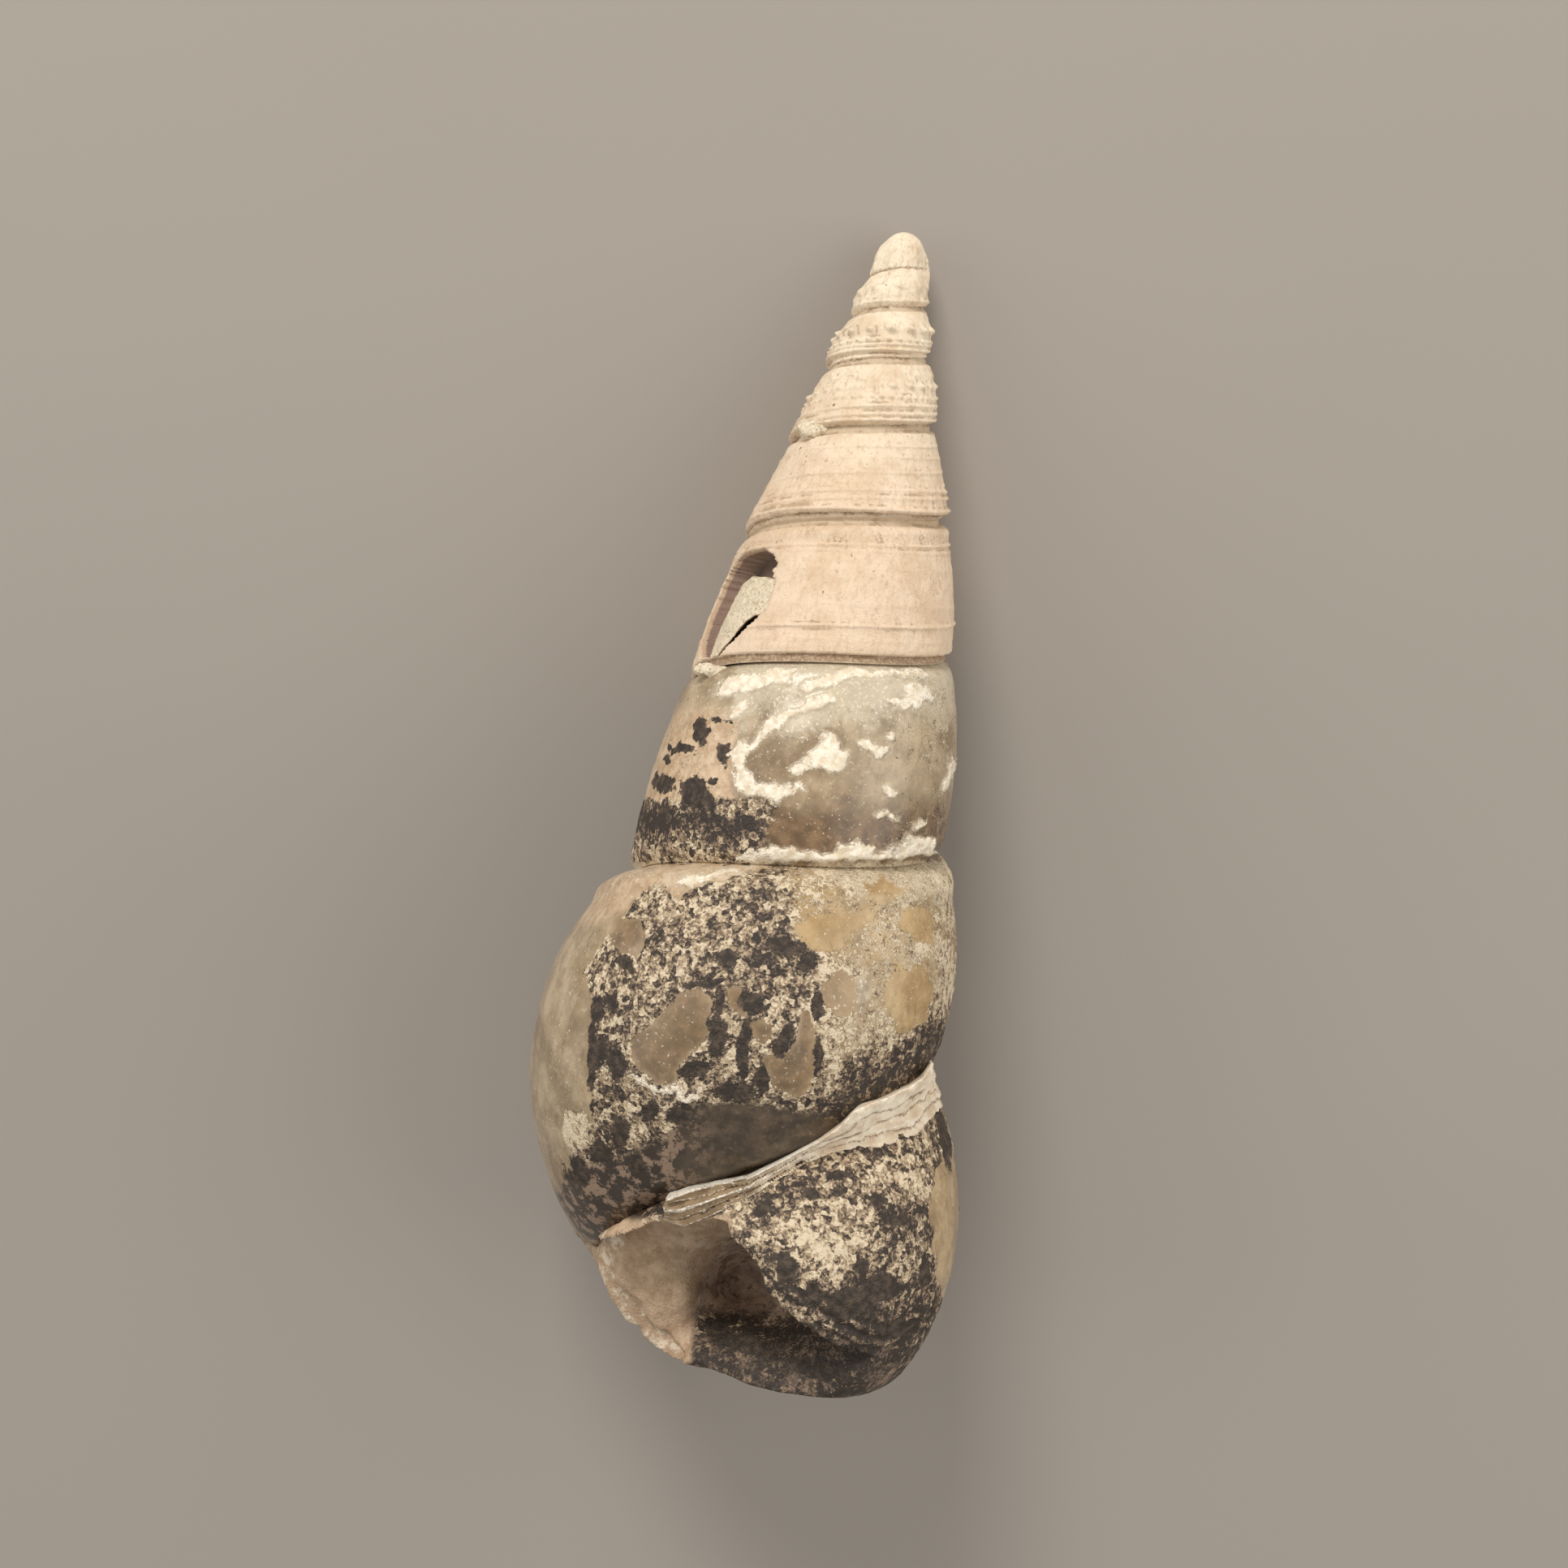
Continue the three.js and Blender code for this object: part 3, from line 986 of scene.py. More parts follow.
def groove_band(below, seam_turn):
    # Share of groove, and of the grit with painted shadow right under the rim
    seams = np.arange(len(GROOVES))
    start = np.interp(seam_turn + 0.75, seams, GROOVES[:, 0])
    end = np.interp(seam_turn + 0.75, seams, GROOVES[:, 1])
    under_rim = soft_step(start - 0.03, start + 0.03, below)
    band = under_rim * (1 - soft_step(end - 0.06, end + 0.04, below))
    return band, under_rim * np.exp(-np.abs(below - start) / GRIT_REACH) * (band > 0.02)


def both_grooves(points, turn, across):
    pitch = whorl_pitch(turn)
    ragged = 0.03 * grain(points, 0.4, 16, 3)
    upper = groove_band(across * pitch + ragged, turn)
    lower = groove_band((across - 1) * pitch + ragged, turn + 1)
    return np.maximum(upper, lower)


print("deepest groove", max(DEPTHS), "mm")

# %% [markdown]
# ## Growth lines and wear
# Hair-thin growth lines cross the cords. They come from grain stretched along the axis. Slanted
# ribs fill the band under the fifth seam, the young whorls are swollen and bumpy, and the whole
# wall is a little uneven.

# %% Relief of the spire
RIBS_IN_TURN, RIB_SLANT = 110, 2.2


def worn_surface(points, turn, across, whorl):
    in_band = (whorl == 5) * soft_step(0.02, 0.05, across) * (1 - soft_step(0.14, 0.17, across))
    lean = turn * RIBS_IN_TURN + across * whorl_pitch(turn) * RIB_SLANT
    ribs = 0.03 * in_band * np.sin(2 * math.pi * lean + 3 * grain(points, 0.8, 8, 2))
    swell = np.sin(math.pi * np.clip(across, 0, 1)) * soft_step(3.2, 1.6, turn)
    young = (0.16 * swell - 0.07) * soft_step(3.4, 2.6, turn) * soft_step(-0.4, 0.2, turn)
    bumps = 0.10 * grain(points, 0.5, 9, 2) * (1 - soft_step(0.5, 1.6, turn))
    growth = 0.02 * grain(points * [1, 0.10, 1], 0.14, 17, 3)
    uneven = 0.045 * grain(points, 1.1, 11) + 0.02 * grain(points, 0.25, 12, 3)
    return ribs + young + bumps + growth + uneven


def spire_relief(points, turn, across):
    whorl = np.floor(turn + 0.25) + 1
    share = np.mod(turn + 0.25, 1)
    fade = soft_step(0, 0.08, np.minimum(share, 1 - share))
    groove, grit = both_grooves(points, turn, across)
    settled = soft_step(0.02, 0.35, turn)
    height = cord_height(points, turn, across, whorl)
    height *= fade * (0.8 + 0.7 * grain(points, 1.1, 15, 2)) * (1 - groove)
    height -= np.interp(turn, DEPTH_TURNS, DEPTHS) * groove * settled
    height += 0.03 * groove * grain(points, 0.2, 18, 3)
    return height + worn_surface(points, turn, across, whorl), groove * settled, grit * settled


print("rib spacing on the wall", round(2 * math.pi * SEAM_RADIUS[10] / RIBS_IN_TURN, 2), "mm")

# %% [markdown]
# ## Hole in the sixth whorl
# A hole has been broken through the wall on the left. Its outline is listed as direction and drop, and grain
# makes it jagged. Inside it the surface is pushed in by a little over a millimetre, so the wall shows its
# thickness; the hollow behind is not modelled but painted dark, as painted shade.

# %% Hole
AROUND_TO_MM = 28.9
HOLE_OUTLINE = np.array([
    (0.450, 13.85), (0.425, 13.68), (0.397, 13.56), (0.380, 13.50), (0.361, 13.62), (0.349, 14.0),
    (0.354, 14.3), (0.343, 14.86), (0.343, 15.7), (0.357, 16.27), (0.372, 16.76), (0.3855, 17.25),
    (0.403, 17.78), (0.424, 17.92), (0.450, 17.92), (0.470, 17.5), (0.484, 16.9), (0.492, 16.0),
    (0.490, 15.2), (0.475, 14.4),
]) * [AROUND_TO_MM, 1]
HOLE_DEPTH, HOLE_JAG = 1.15, 0.09


def hole_share(points, around, drop):
    jag = HOLE_JAG * grain(points, 0.35, 19, 3)
    depth = polygon_depth(around * AROUND_TO_MM + jag, drop + jag, HOLE_OUTLINE)
    return soft_step(-0.01, 0.03, depth)


print("hole from", HOLE_OUTLINE[:, 1].min(), "to", HOLE_OUTLINE[:, 1].max(), "mm below the tip")

# %% [markdown]
# ## Grid of the spire
# The spire is a barrel with finer columns at the front. Its lower edge follows the seam round the
# front. Round the back the wall ends in a ragged break, which stands up a little from the stone.

# %% Shape of the spire
SPIRE_END, FRONT_FINENESS, ROW_POWER, FIRST_ROW = 5, 0.05, 1.1, 0.004
BREAK_SWING, BREAK_STEP = 0.3, 0.25


def front_to_back(around, front_start):
    # Follows a seam round the front, then climbs back to its start round the back
    seam = along_winding(SEAM_DROP, front_start + np.minimum(around, 0.5))
    left = along_winding(SEAM_DROP, front_start + 0.5)
    right = along_winding(SEAM_DROP, front_start)
    return np.where(around <= 0.5, seam, left + (right - left) * soft_step(0.5, 1.0, around))


def spire_grid(columns, rows):
    even = np.arange(columns) / columns
    finer_front = even - FRONT_FINENESS * np.sin(2 * math.pi * (even - 0.25)) - FRONT_FINENESS
    around = np.tile(np.mod(finer_front, 1), rows)
    level = np.repeat(np.linspace(0, 1, rows) ** ROW_POWER, columns)
    on_back = soft_step(0.5, 0.6, around) * (1 - soft_step(0.9, 1.0, around))
    end = front_to_back(around, SPIRE_END)
    edge = ring_points(around, end, np.full(len(around), 5.0))
    end = end + BREAK_SWING * grain(edge, 1.2, 5) * on_back
    drop = np.maximum(level * end, FIRST_ROW)
    return around, drop, level, BREAK_STEP * soft_step(1.6, 0.0, end - drop) * on_back


print("wall ends", front_to_back(np.array([0.0, 0.5]), SPIRE_END), "mm down, right and left")

# %% [markdown]
# ## Spire mesh
# Where the surface lies lower than the surface around it, the finish darkens it, partly as grit and partly as
# painted shade, so the difference to a blurred copy is kept for the finish. Blurring the radius along the
# turns also rounds the youngest whorls, as wear does. A small notch near the tip is the first seam.

# %% Spire
NOTCH_DROP, NOTCH_AROUND, NOTCH_DEPTH = 0.35, 0.3, 0.12
SPIRE_COLUMNS, SPIRE_ROWS, HIDDEN_END = 236, 420, 15.0


def blurred(values, size, up, along):
    grid = values.reshape(size)
    total = np.zeros(size)
    for i in (-up, 0, up):
        row = np.clip(np.arange(size[0]) + i, 0, size[0] - 1)
        total += sum(np.roll(grid[row], j, axis=1) for j in (-along, -along // 2, 0, along // 2, along))
    return (total / 15).ravel()


def make_spire():
    columns, rows = int(SPIRE_COLUMNS * COARSE), int(SPIRE_ROWS * COARSE)
    size = rows, columns
    around, drop, level, broken_edge = spire_grid(columns, rows)
    radius, turn, across = shell_radius(around, drop)
    points = ring_points(around, drop, radius)
    height, groove, grit = spire_relief(points, turn, across)
    # cavity: how far the surface lies below its blurred copy, darkened by the finish as grit and painted
    # shade
    cavity = (blurred(height, size, 3, 4) - height) * (drop > 0.3) * (level < 0.99)
    in_hole = hole_share(points, around, drop)
    wide = blurred(radius, size, 0, max(columns // 20, 2))
    radius = radius + (wide - radius) * soft_step(5.0, 3.0, drop) + height * soft_step(0.1, 1.0, drop)
    notch = ((drop - NOTCH_DROP) / 0.12) ** 2 + (np.abs(around - NOTCH_AROUND) / 0.07) ** 2
    radius += broken_edge - NOTCH_DEPTH * np.exp(-notch) - HOLE_DEPTH * in_hole
    points = ring_points(around, drop, np.maximum(radius, 0.02))
    # grit and rim mark grit with painted shadow under the rims; inside drives the painted shade of the hole
    fields = {"drop": drop, "groove": groove, "grit": grit, "cavity": np.clip(cavity / 0.03, 0, 1),
              "inside": in_hole, "rim": groove * (turn > 4) * (across > 0.8)}
    ends = [[0, 0, 0], [0, -HIDDEN_END, 0]]
    return make_barrel("spire_shell", points, ends, size, fields, chalk)


spire = make_spire()
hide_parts("turret_shell")

# %% [markdown]
# ## Plug in the hole
# Hardened grey grit fills most of the hollow behind the hole. It stops about a third of a millimetre
# short of the outside, and a little deeper at its left edge. A crack runs along its lower right edge,
# and a dark gap is left at the upper left. Plug and crack are drawn on the photograph, and the
# distance below the shell's surface gives the depth.

# %% Plug outline
PLUG_OUTLINE = np.array([
    (928, 711), (943, 712), (956, 714), (964, 727), (962, 748), (948, 770), (926, 790), (908, 808),
    (892, 822), (876, 826), (862, 822), (868, 806), (877, 796), (885, 782), (896, 757), (908, 735),
    (916, 720),
], float)
CRACK = np.array([(945, 757), (932, 762), (922, 768), (914, 778), (905, 789), (896, 800), (886, 812)], float)
DEEPER_LEFT_OF = 925
CRACK_DEPTH, PLUG_SUNK, PLUG_DEEPER, PLUG_BACK = 0.6, 0.34, 0.2, 1.7


def depth_below_surface(points):
    around, drop = around_and_drop(points)
    return read_table(radius_table, around, drop) - np.hypot(points[:, 0], points[:, 2])


def plug_field(points):
    deep = depth_below_surface(points)
    px, py = photo_place(points)
    px = px + 3 * grain(points, 0.4, 91, 3)
    py = py + 3 * grain(points, 0.4, 92, 3)
    inside = polygon_depth(px, py, PLUG_OUTLINE)
    crack = CRACK_DEPTH * soft_step(3.6, 1.8, line_distance(px, py, CRACK))
    sunk = PLUG_SUNK + PLUG_DEEPER * soft_step(10, 0, inside) * (px < DEEPER_LEFT_OF)
    face = sunk + crack + 0.05 * grain(points, 0.5, 93, 3) + 0.04 * grain(points, 0.14, 94, 3)
    return np.maximum.reduce([face - deep, -inside / PIXELS_PER_MM, deep - PLUG_BACK])


def crack_field(points):
    # Marks where the grit finish paints shade into the crack
    return {"crack": soft_step(4.2, 2.2, line_distance(*photo_place(points), CRACK))}


print("plug outline of", len(PLUG_OUTLINE), "points")

# %% [markdown]
# The plug and the grit further down are laid as nets from their fields and share one finish.

# %% Plug
PLUG_LOW, PLUG_HIGH, PLUG_STEP = (-5.5, -18.9, -1.2), (-2.0, -13.6, 4.4), 0.055


def net_piece(name, field_of, low, high, step, fields_of):
    points, quads, _ = net_of(field_of, np.array(low), np.array(high), step / COARSE)
    return make_piece(name, points, quads, fields_of(points), gritstone)


net_piece("matrix_plug", plug_field, PLUG_LOW, PLUG_HIGH, PLUG_STEP, crack_field)

# %% [markdown]
# ## Clinging grit
# Two lumps of the same grit cling to the outside: one in the seam below the fourth whorl and one
# under the rim of the sixth. Each is a rough ball round a place on the photograph, found on the
# shell's surface in a few steps.

# %% Clinging grit
SEAM_GRIT_PLACE, RIM_GRIT_PLACE = (1003, 531), (876, 828)
SEARCH_STEPS, FIRST_DEPTH = 20, 2.0
LUMP_SWING, LUMP_STEP = 0.24, 0.05


def surface_place(px, py):
    place = shell_place(px, py, FIRST_DEPTH)
    for _ in range(SEARCH_STEPS):
        around, drop = around_and_drop(place[None])
        radius = read_table(radius_table, around, drop)[0]
        depth = math.sqrt(max(radius ** 2 - place[0] ** 2, 0))
        place = shell_place(px, py, 0.5 * place[2] + 0.5 * depth)
    return place


def grit_lump(name, photo_point, half_sizes, seed):
    place = surface_place(*photo_point)

    def lump(points):
        away = np.linalg.norm((points - place) / half_sizes, axis=1)
        return (away - 1) * min(half_sizes) + LUMP_SWING * grain(points, 0.45, seed, 4)

    reach = np.array(half_sizes) * 1.5 + 0.2
    return net_piece(name, lump, place - reach, place + reach, LUMP_STEP, lambda points: {})


grit_lump("seam_grit", SEAM_GRIT_PLACE, (0.62, 0.36, 0.30), 101)
grit_lump("rim_grit", RIM_GRIT_PLACE, (0.75, 0.30, 0.36), 105)

# %% [markdown]
# ## Where crust, windows and flakes lie
# The stone whorls are a patchwork. Clear windows of bare stone, flakes of chalk and blobs of black
# crust have outlines that can be traced from the photograph, point by point. They are kept as
# outlines and turned into soft fields on the mesh. Grain pulls every edge about, so it comes out
# ragged. Round the back, where nothing can be traced, the same patchwork comes from grain alone.

# %% Traced outlines
CLEAR_WINDOWS = [
    [(835, 1225), (858, 1219), (877, 1227), (881, 1242), (873, 1262), (867, 1281), (861, 1292), (846, 1300),
     (840, 1312), (838, 1327), (823, 1337), (804, 1333), (788, 1319), (779, 1302), (779, 1281), (790, 1269),
     (804, 1260), (819, 1248), (831, 1238)],
    [(985, 1246), (998, 1246), (1002, 1265), (1002, 1288), (1002, 1319), (1000, 1342), (988, 1352),
     (973, 1346), (958, 1342), (948, 1319), (942, 1304), (958, 1300), (973, 1296), (981, 1281), (983, 1262)],
    [(921, 1260), (938, 1254), (950, 1265), (952, 1281), (942, 1290), (933, 1285), (925, 1271)],
    [(752, 1154), (765, 1135), (785, 1133), (794, 1146), (792, 1165), (783, 1177), (765, 1173), (754, 1169)],
    [(896, 1219), (911, 1219), (919, 1235), (915, 1250), (900, 1242)],
]
AMBER_WINDOWS = [
    [(981, 1142), (1004, 1131), (1035, 1127), (1065, 1123), (1077, 1125), (1058, 1138), (1042, 1154),
     (1027, 1169), (1004, 1173), (988, 1165), (983, 1154)],
    [(1015, 1211), (1035, 1200), (1052, 1204), (1058, 1219), (1052, 1242), (1035, 1250), (1017, 1242),
     (1011, 1227)],
    [(1061, 1088), (1085, 1073), (1092, 1069), (1096, 1085), (1108, 1096), (1092, 1111), (1077, 1108)],
    [(823, 1075), (919, 1067), (915, 1077), (881, 1085), (858, 1096), (838, 1108), (827, 1096)],
    [(1110, 1125), (1130, 1118), (1150, 1135), (1146, 1160), (1122, 1158), (1112, 1140)],
    [(1100, 1200), (1128, 1190), (1150, 1215), (1140, 1260), (1108, 1270), (1092, 1235)],
]
BROWN_STREAKS = [
    [(1058, 1206), (1075, 1208), (1071, 1223), (1065, 1242), (1060, 1261), (1056, 1250), (1060, 1223)],
    [(1054, 1146), (1061, 1142), (1058, 1165), (1052, 1167)],
]
RING_WINDOW = [[(1002, 886), (1020, 884), (1018, 904), (998, 925), (985, 940), (975, 955), (950, 968),
                (932, 968), (921, 950), (920, 935), (927, 923), (945, 909), (959, 897), (980, 885)]]
CHALK_FLAKES = [
    # The first flake is a painted highlight: a pale patch where the glossy stone shines under the upper seam
    [(838, 1088), (856, 1078), (905, 1069), (918, 1073), (882, 1084), (850, 1095)],
    [(883, 853), (898, 835), (933, 828), (968, 822), (986, 821), (977, 832), (973, 844), (945, 844),
     (909, 856), (886, 859)],
    [(983, 844), (1003, 835), (1030, 828), (1051, 821), (1074, 825), (1103, 826), (1133, 822), (1145, 829),
     (1139, 835), (1103, 832), (1074, 832), (1045, 838), (1015, 850), (998, 854), (986, 850)],
    [(1030, 862), (1024, 856), (1009, 856), (995, 863), (990, 872), (974, 876), (956, 879), (942, 885),
     (940, 897), (933, 909), (924, 916), (909, 916), (898, 924), (899, 935), (906, 947), (908, 965),
     (915, 978), (930, 984), (945, 984), (956, 988), (974, 976), (992, 971), (986, 965), (974, 971),
     (962, 965), (948, 965), (936, 971), (927, 959), (920, 950), (920, 935), (927, 924), (945, 909),
     (959, 897), (980, 885), (995, 876), (1012, 871), (1027, 868)],
    [(1015, 906), (1030, 909), (1036, 923), (1045, 926), (1040, 947), (1030, 953), (1015, 947), (998, 947),
     (983, 956), (974, 950), (980, 941), (998, 935), (998, 926), (1006, 921)],
    [(1059, 916), (1071, 912), (1083, 921), (1095, 918), (1096, 925), (1086, 931), (1081, 938), (1074, 932),
     (1070, 925), (1061, 923)],
    [(1109, 838), (1118, 841), (1130, 844), (1145, 848), (1151, 863), (1133, 868), (1124, 873), (1106, 871),
     (1089, 866), (1092, 862), (1109, 863), (1115, 856)],
    [(895, 882), (909, 865), (921, 862), (928, 871), (918, 876), (903, 884)],
    [(1086, 976), (1095, 968), (1103, 973), (1101, 985), (1092, 984)],
    [(1077, 1003), (1089, 998), (1103, 1003), (1106, 1010), (1098, 1010), (1083, 1006)],
    [(1123, 1023), (1133, 1010), (1143, 1010), (1140, 1019), (1127, 1025)],
    [(1093, 906), (1103, 901), (1106, 906), (1098, 912)],
    [(903, 1062), (918, 1050), (945, 1046), (986, 1050), (1015, 1053), (1036, 1044), (1062, 1037),
     (1074, 1044), (1074, 1050), (1092, 1050), (1109, 1038), (1118, 1026), (1127, 1032), (1145, 1035),
     (1148, 1050), (1133, 1056), (1103, 1059), (1045, 1062), (986, 1062), (927, 1065)],
    [(1171, 926), (1176, 941), (1168, 971), (1162, 976), (1159, 968), (1165, 953)],
    [(779, 1318), (796, 1336), (812, 1342), (831, 1339), (842, 1352), (857, 1350), (864, 1335), (868, 1340),
     (858, 1356), (840, 1360), (828, 1346), (808, 1349), (790, 1341), (776, 1322)],
]
print(len(CHALK_FLAKES), "chalk flakes")

# %% [markdown]
# Black blobs are small and round enough to be ellipses: place, half width, half height, lean.

# %% Black blobs
BLACK_BLOBS = [
    (885, 1277, 13, 24, 0), (858, 1315, 18, 13, -10), (919, 1285, 8, 40, 0), (927, 1235, 16, 14, 20),
    (896, 1181, 16, 10, 0), (773, 1187, 15, 8, 30), (731, 1300, 5, 66, 0), (742, 1296, 11, 20, 0),
    (762, 1308, 11, 24, 0), (996, 1185, 14, 12, 0), (1008, 1235, 6, 22, 0), (967, 1281, 8, 26, 20),
    (1006, 1298, 5, 26, 0), (942, 1331, 8, 15, 0), (965, 1165, 24, 12, 10), (742, 1423, 15, 16, 0),
    (713, 1444, 14, 22, -30), (762, 1396, 13, 20, 0), (788, 1434, 9, 14, 0),
    (905, 1345, 30, 14, 0), (838, 1375, 16, 12, 0), (800, 1372, 10, 16, 20), (737, 1245, 9, 16, 0),
    (754, 1236, 8, 10, 0), (862, 1212, 30, 5, -8), (888, 1240, 5, 20, 10),
    (866, 902, 9, 15, 10), (842, 922, 16, 6, 0), (824, 938, 4, 5, 0), (893, 936, 8, 18, 0),
    (820, 966, 15, 12, 0), (857, 972, 17, 19, 0), (878, 963, 8, 6, 0), (862, 988, 20, 12, 0),
    (824, 1000, 10, 8, 0), (886, 888, 9, 4, 0),
    (1110, 1504, 12, 8, 0), (1084, 1478, 16, 7, 20), (1080, 1590, 34, 15, -10), (970, 1562, 12, 18, 0),
    (1050, 1606, 34, 20, -20), (1138, 1566, 5, 20, 0), (1163, 1400, 8, 34, -12), (1004, 1596, 14, 12, 20),
    (930, 1662, 34, 12, 20), (1010, 1690, 44, 10, 15), (886, 1640, 14, 18, 0), (1100, 1640, 26, 9, -20),
    (1030, 1450, 16, 7, -20), (1000, 1470, 10, 8, 0), (940, 1490, 12, 8, -30), (1060, 1560, 12, 10, 30),
]


print(len(BLACK_BLOBS), "black blobs")

# %% [markdown]
# ## From outlines to fields
# An outline gives one half on the line itself, rising inwards and falling outwards over a few
# pixels. A blob rises to its middle. Where fields overlap, the larger one counts.

# %% From outlines to fields
EDGE_REACH = 14.0


def blob_field(px, py, blobs):
    field = np.zeros(len(px))
    for x, y, half_width, half_height, lean in blobs:
        turned = math.radians(lean)
        across = (px - x) * math.cos(turned) + (py - y) * math.sin(turned)
        along = (py - y) * math.cos(turned) - (px - x) * math.sin(turned)
        away = np.sqrt((across / half_width) ** 2 + (along / half_height) ** 2)
        field = np.maximum(field, 1.25 - 0.75 * away)
    return np.clip(field, 0, 1)


def outline_field(px, py, outlines):
    field = np.zeros(len(px))
    for outline in outlines:
        outline = np.array(outline, float)
        low, high = outline.min(axis=0) - EDGE_REACH, outline.max(axis=0) + EDGE_REACH
        near = (px > low[0]) & (px < high[0]) & (py > low[1]) & (py < high[1])
        depth = polygon_depth(px[near], py[near], outline)
        field[near] = np.maximum(field[near], np.clip(0.5 + depth / EDGE_REACH, 0, 1))
    return field


print("edge reach", EDGE_REACH, "pixels")

# %% [markdown]
# ## Places on the photograph
# The rest of the patchwork is too soft for outlines. Its places are named here once, in pixels of
# the photograph. A row or a column is a soft edge that starts at the first number and is complete at
# the second. A line gives one coordinate for each value of the other. A spot has a centre, a half
# width and a half height.

# %% Named rows, columns, lines and spots
# Rows and columns named skin bound the dark, smooth skin together with its painted shade
ROWS = {
    "side warms": (880, 905), "side tans": (858, 895), "side tan ends": (985, 1015), "side crust": (870, 900),
    "veil ends": (850, 940), "stone browns": (960, 1015), "crust darkens": (975, 992),
    "rough strip": (978, 990), "rough strip ends": (1004, 1024), "low crust": (988.8, 1013.8),
    "low crust pales": (1005, 1050), "low skin ends": (1010, 1040), "seam chalk": (1015, 1035),
    "seam chalk ends": (1058, 1070), "upper seam": (1058, 1064), "middle crust": (1070, 1110),
    "middle veil ends": (1070, 1120), "pale crust ends": (1080, 1150), "middle tan ends": (1090, 1118),
    "dark band ends": (1180, 1220), "knob side": (1395, 1420),
    "brown corner": (1420, 1470), "torn layers": (1545, 1590), "knob darkens": (1560, 1600),
    "base darkens": (1600, 1680), "hollow ends": (1604, 1630), "base skin": (1610, 1660),
}
COLUMNS = {
    "mottle ends": (800, 900), "side ends": (898, 912), "dark band": (900, 940),
    "middle tan ends": (900, 960), "low crust ends": (925, 955),
    "rough strip ends": (940, 972), "dark band ends": (960, 1000),
    "above ribbon": (985, 1015), "right veil": (1010, 1060), "skin ends": (1020, 1045),
    "right crust": (1060, 1120), "base skin ends": (1080, 1150), "edge crust": (1150, 1175),
}
ROW_LINES = {
    "lowest seam": ([729, 781, 818, 862, 936, 1010, 1084, 1132],
                    [1528, 1505, 1476, 1465, 1446, 1405, 1350, 1317]),
    "ribbon": ([960, 1009, 1036, 1055, 1117, 1140], [1431, 1403, 1382, 1361, 1331, 1300]),
    "skin and shade": ([730, 815, 865, 950, 1020, 1100], [1430, 1400, 1352, 1352, 1372, 1330]),
}
COLUMN_LINES = {
    "crust left": ([1090, 1150, 1196, 1235, 1296, 1365, 1396, 1427, 1480, 1530],
                   [800, 752, 722, 729, 727, 731, 727, 700, 690, 720]),
    "crust right": ([1080, 1130, 1180, 1246, 1345, 1400], [950, 972, 1004, 1012, 1012, 1000]),
    "knob right": ([1360, 1420, 1480, 1540, 1600, 1660], [1168, 1160, 1146, 1150, 1160, 1152]),
}
SPOTS = {
    "grains at the left": (710, 1390, 15, 28), "cream of the knob": (1030, 1530, 60, 60),
    "top of the knob": (1080, 1450, 60, 30), "corner of the knob": (930, 1520, 26, 24),
    "brown in the stone": (1046, 985, 26, 30), "brown in the amber": (1034, 1224, 40, 44),
}
SLANT_FROM, THICK_BLOBS_FROM = 850, 1330
print(len(ROWS) + len(COLUMNS), "edges,", len(ROW_LINES) + len(COLUMN_LINES), "lines,", len(SPOTS), "spots")

# %% [markdown]
# The points of a mesh are looked at as they would be seen on the photograph, and asked whether they
# lie above or below a row, left or right of a column, past a line or on a spot. A row can also slant.

# %% Reading the places
class OnPhoto:
    def __init__(self, x, y):
        self.x, self.y = x, y

    def below(self, row, slant=0.0):
        return soft_step(*ROWS[row], self.y + slant * (self.x - SLANT_FROM))

    def above(self, row, slant=0.0):
        return 1 - self.below(row, slant)

    def right_of(self, column):
        return soft_step(*COLUMNS[column], self.x)

    def left_of(self, column):
        return 1 - self.right_of(column)

    def under_line(self, line):
        return self.y - np.interp(self.x, *ROW_LINES[line])

    def past_line(self, line):
        return self.x - np.interp(self.y, *COLUMN_LINES[line])

    def spot(self, name, power=2):
        x, y, half_width, half_height = SPOTS[name]
        return np.exp(-((self.x - x) / half_width) ** power - ((self.y - y) / half_height) ** power)


print("the tip lies above the upper seam:", OnPhoto(*PHOTO_TIP).above("upper seam"))

# %% [markdown]
# ## Crust on each whorl
# `crust` says how much of the stone is hidden by mineral grains, and `tone` whether those grains are
# mostly black or mostly cream. The upper whorl has crust at its lower left, the middle one is
# covered between two lines, and the knob is covered all over.

# %% Crust on each whorl
def crust_on_upper(seen):
    side = seen.left_of("side ends")
    low = seen.below("low crust", -0.12) * seen.left_of("low crust ends")
    crust = 0.3 * side * seen.below("side crust") + 0.9 * low
    strip = seen.below("rough strip") * seen.above("rough strip ends") * seen.left_of("rough strip ends")
    crust += 0.35 * strip
    crust += (0.2 + 0.16 * seen.right_of("right crust")) * (1 - side)
    tone = 0.25 - 0.42 * low * seen.above("low crust pales") - 0.22 * seen.below("crust darkens")
    return crust, tone, side, low


def crust_on_middle(seen):
    left, right = seen.past_line("crust left"), seen.past_line("crust right")
    covered = soft_step(-6, 6, left) * (1 - soft_step(-16, 22, right))
    crust = 0.95 * covered * seen.below("middle crust", 0.2)
    crust += soft_step(-10, 10, right) * (0.46 + 0.12 * seen.right_of("edge crust"))
    tone = 0.06 + 0.08 * seen.above("pale crust ends") + 0.24 * soft_step(-20, 10, right)
    tone -= 0.2 * seen.above("dark band ends") * seen.right_of("dark band") * seen.left_of("dark band ends")
    near_ribbon = soft_step(-85, -15, seen.under_line("ribbon")) * seen.right_of("above ribbon")
    grains = seen.spot("grains at the left", 4)
    return crust + 0.4 * near_ribbon + 0.8 * grains, tone - 0.55 * near_ribbon + 0.4 * grains, left, right


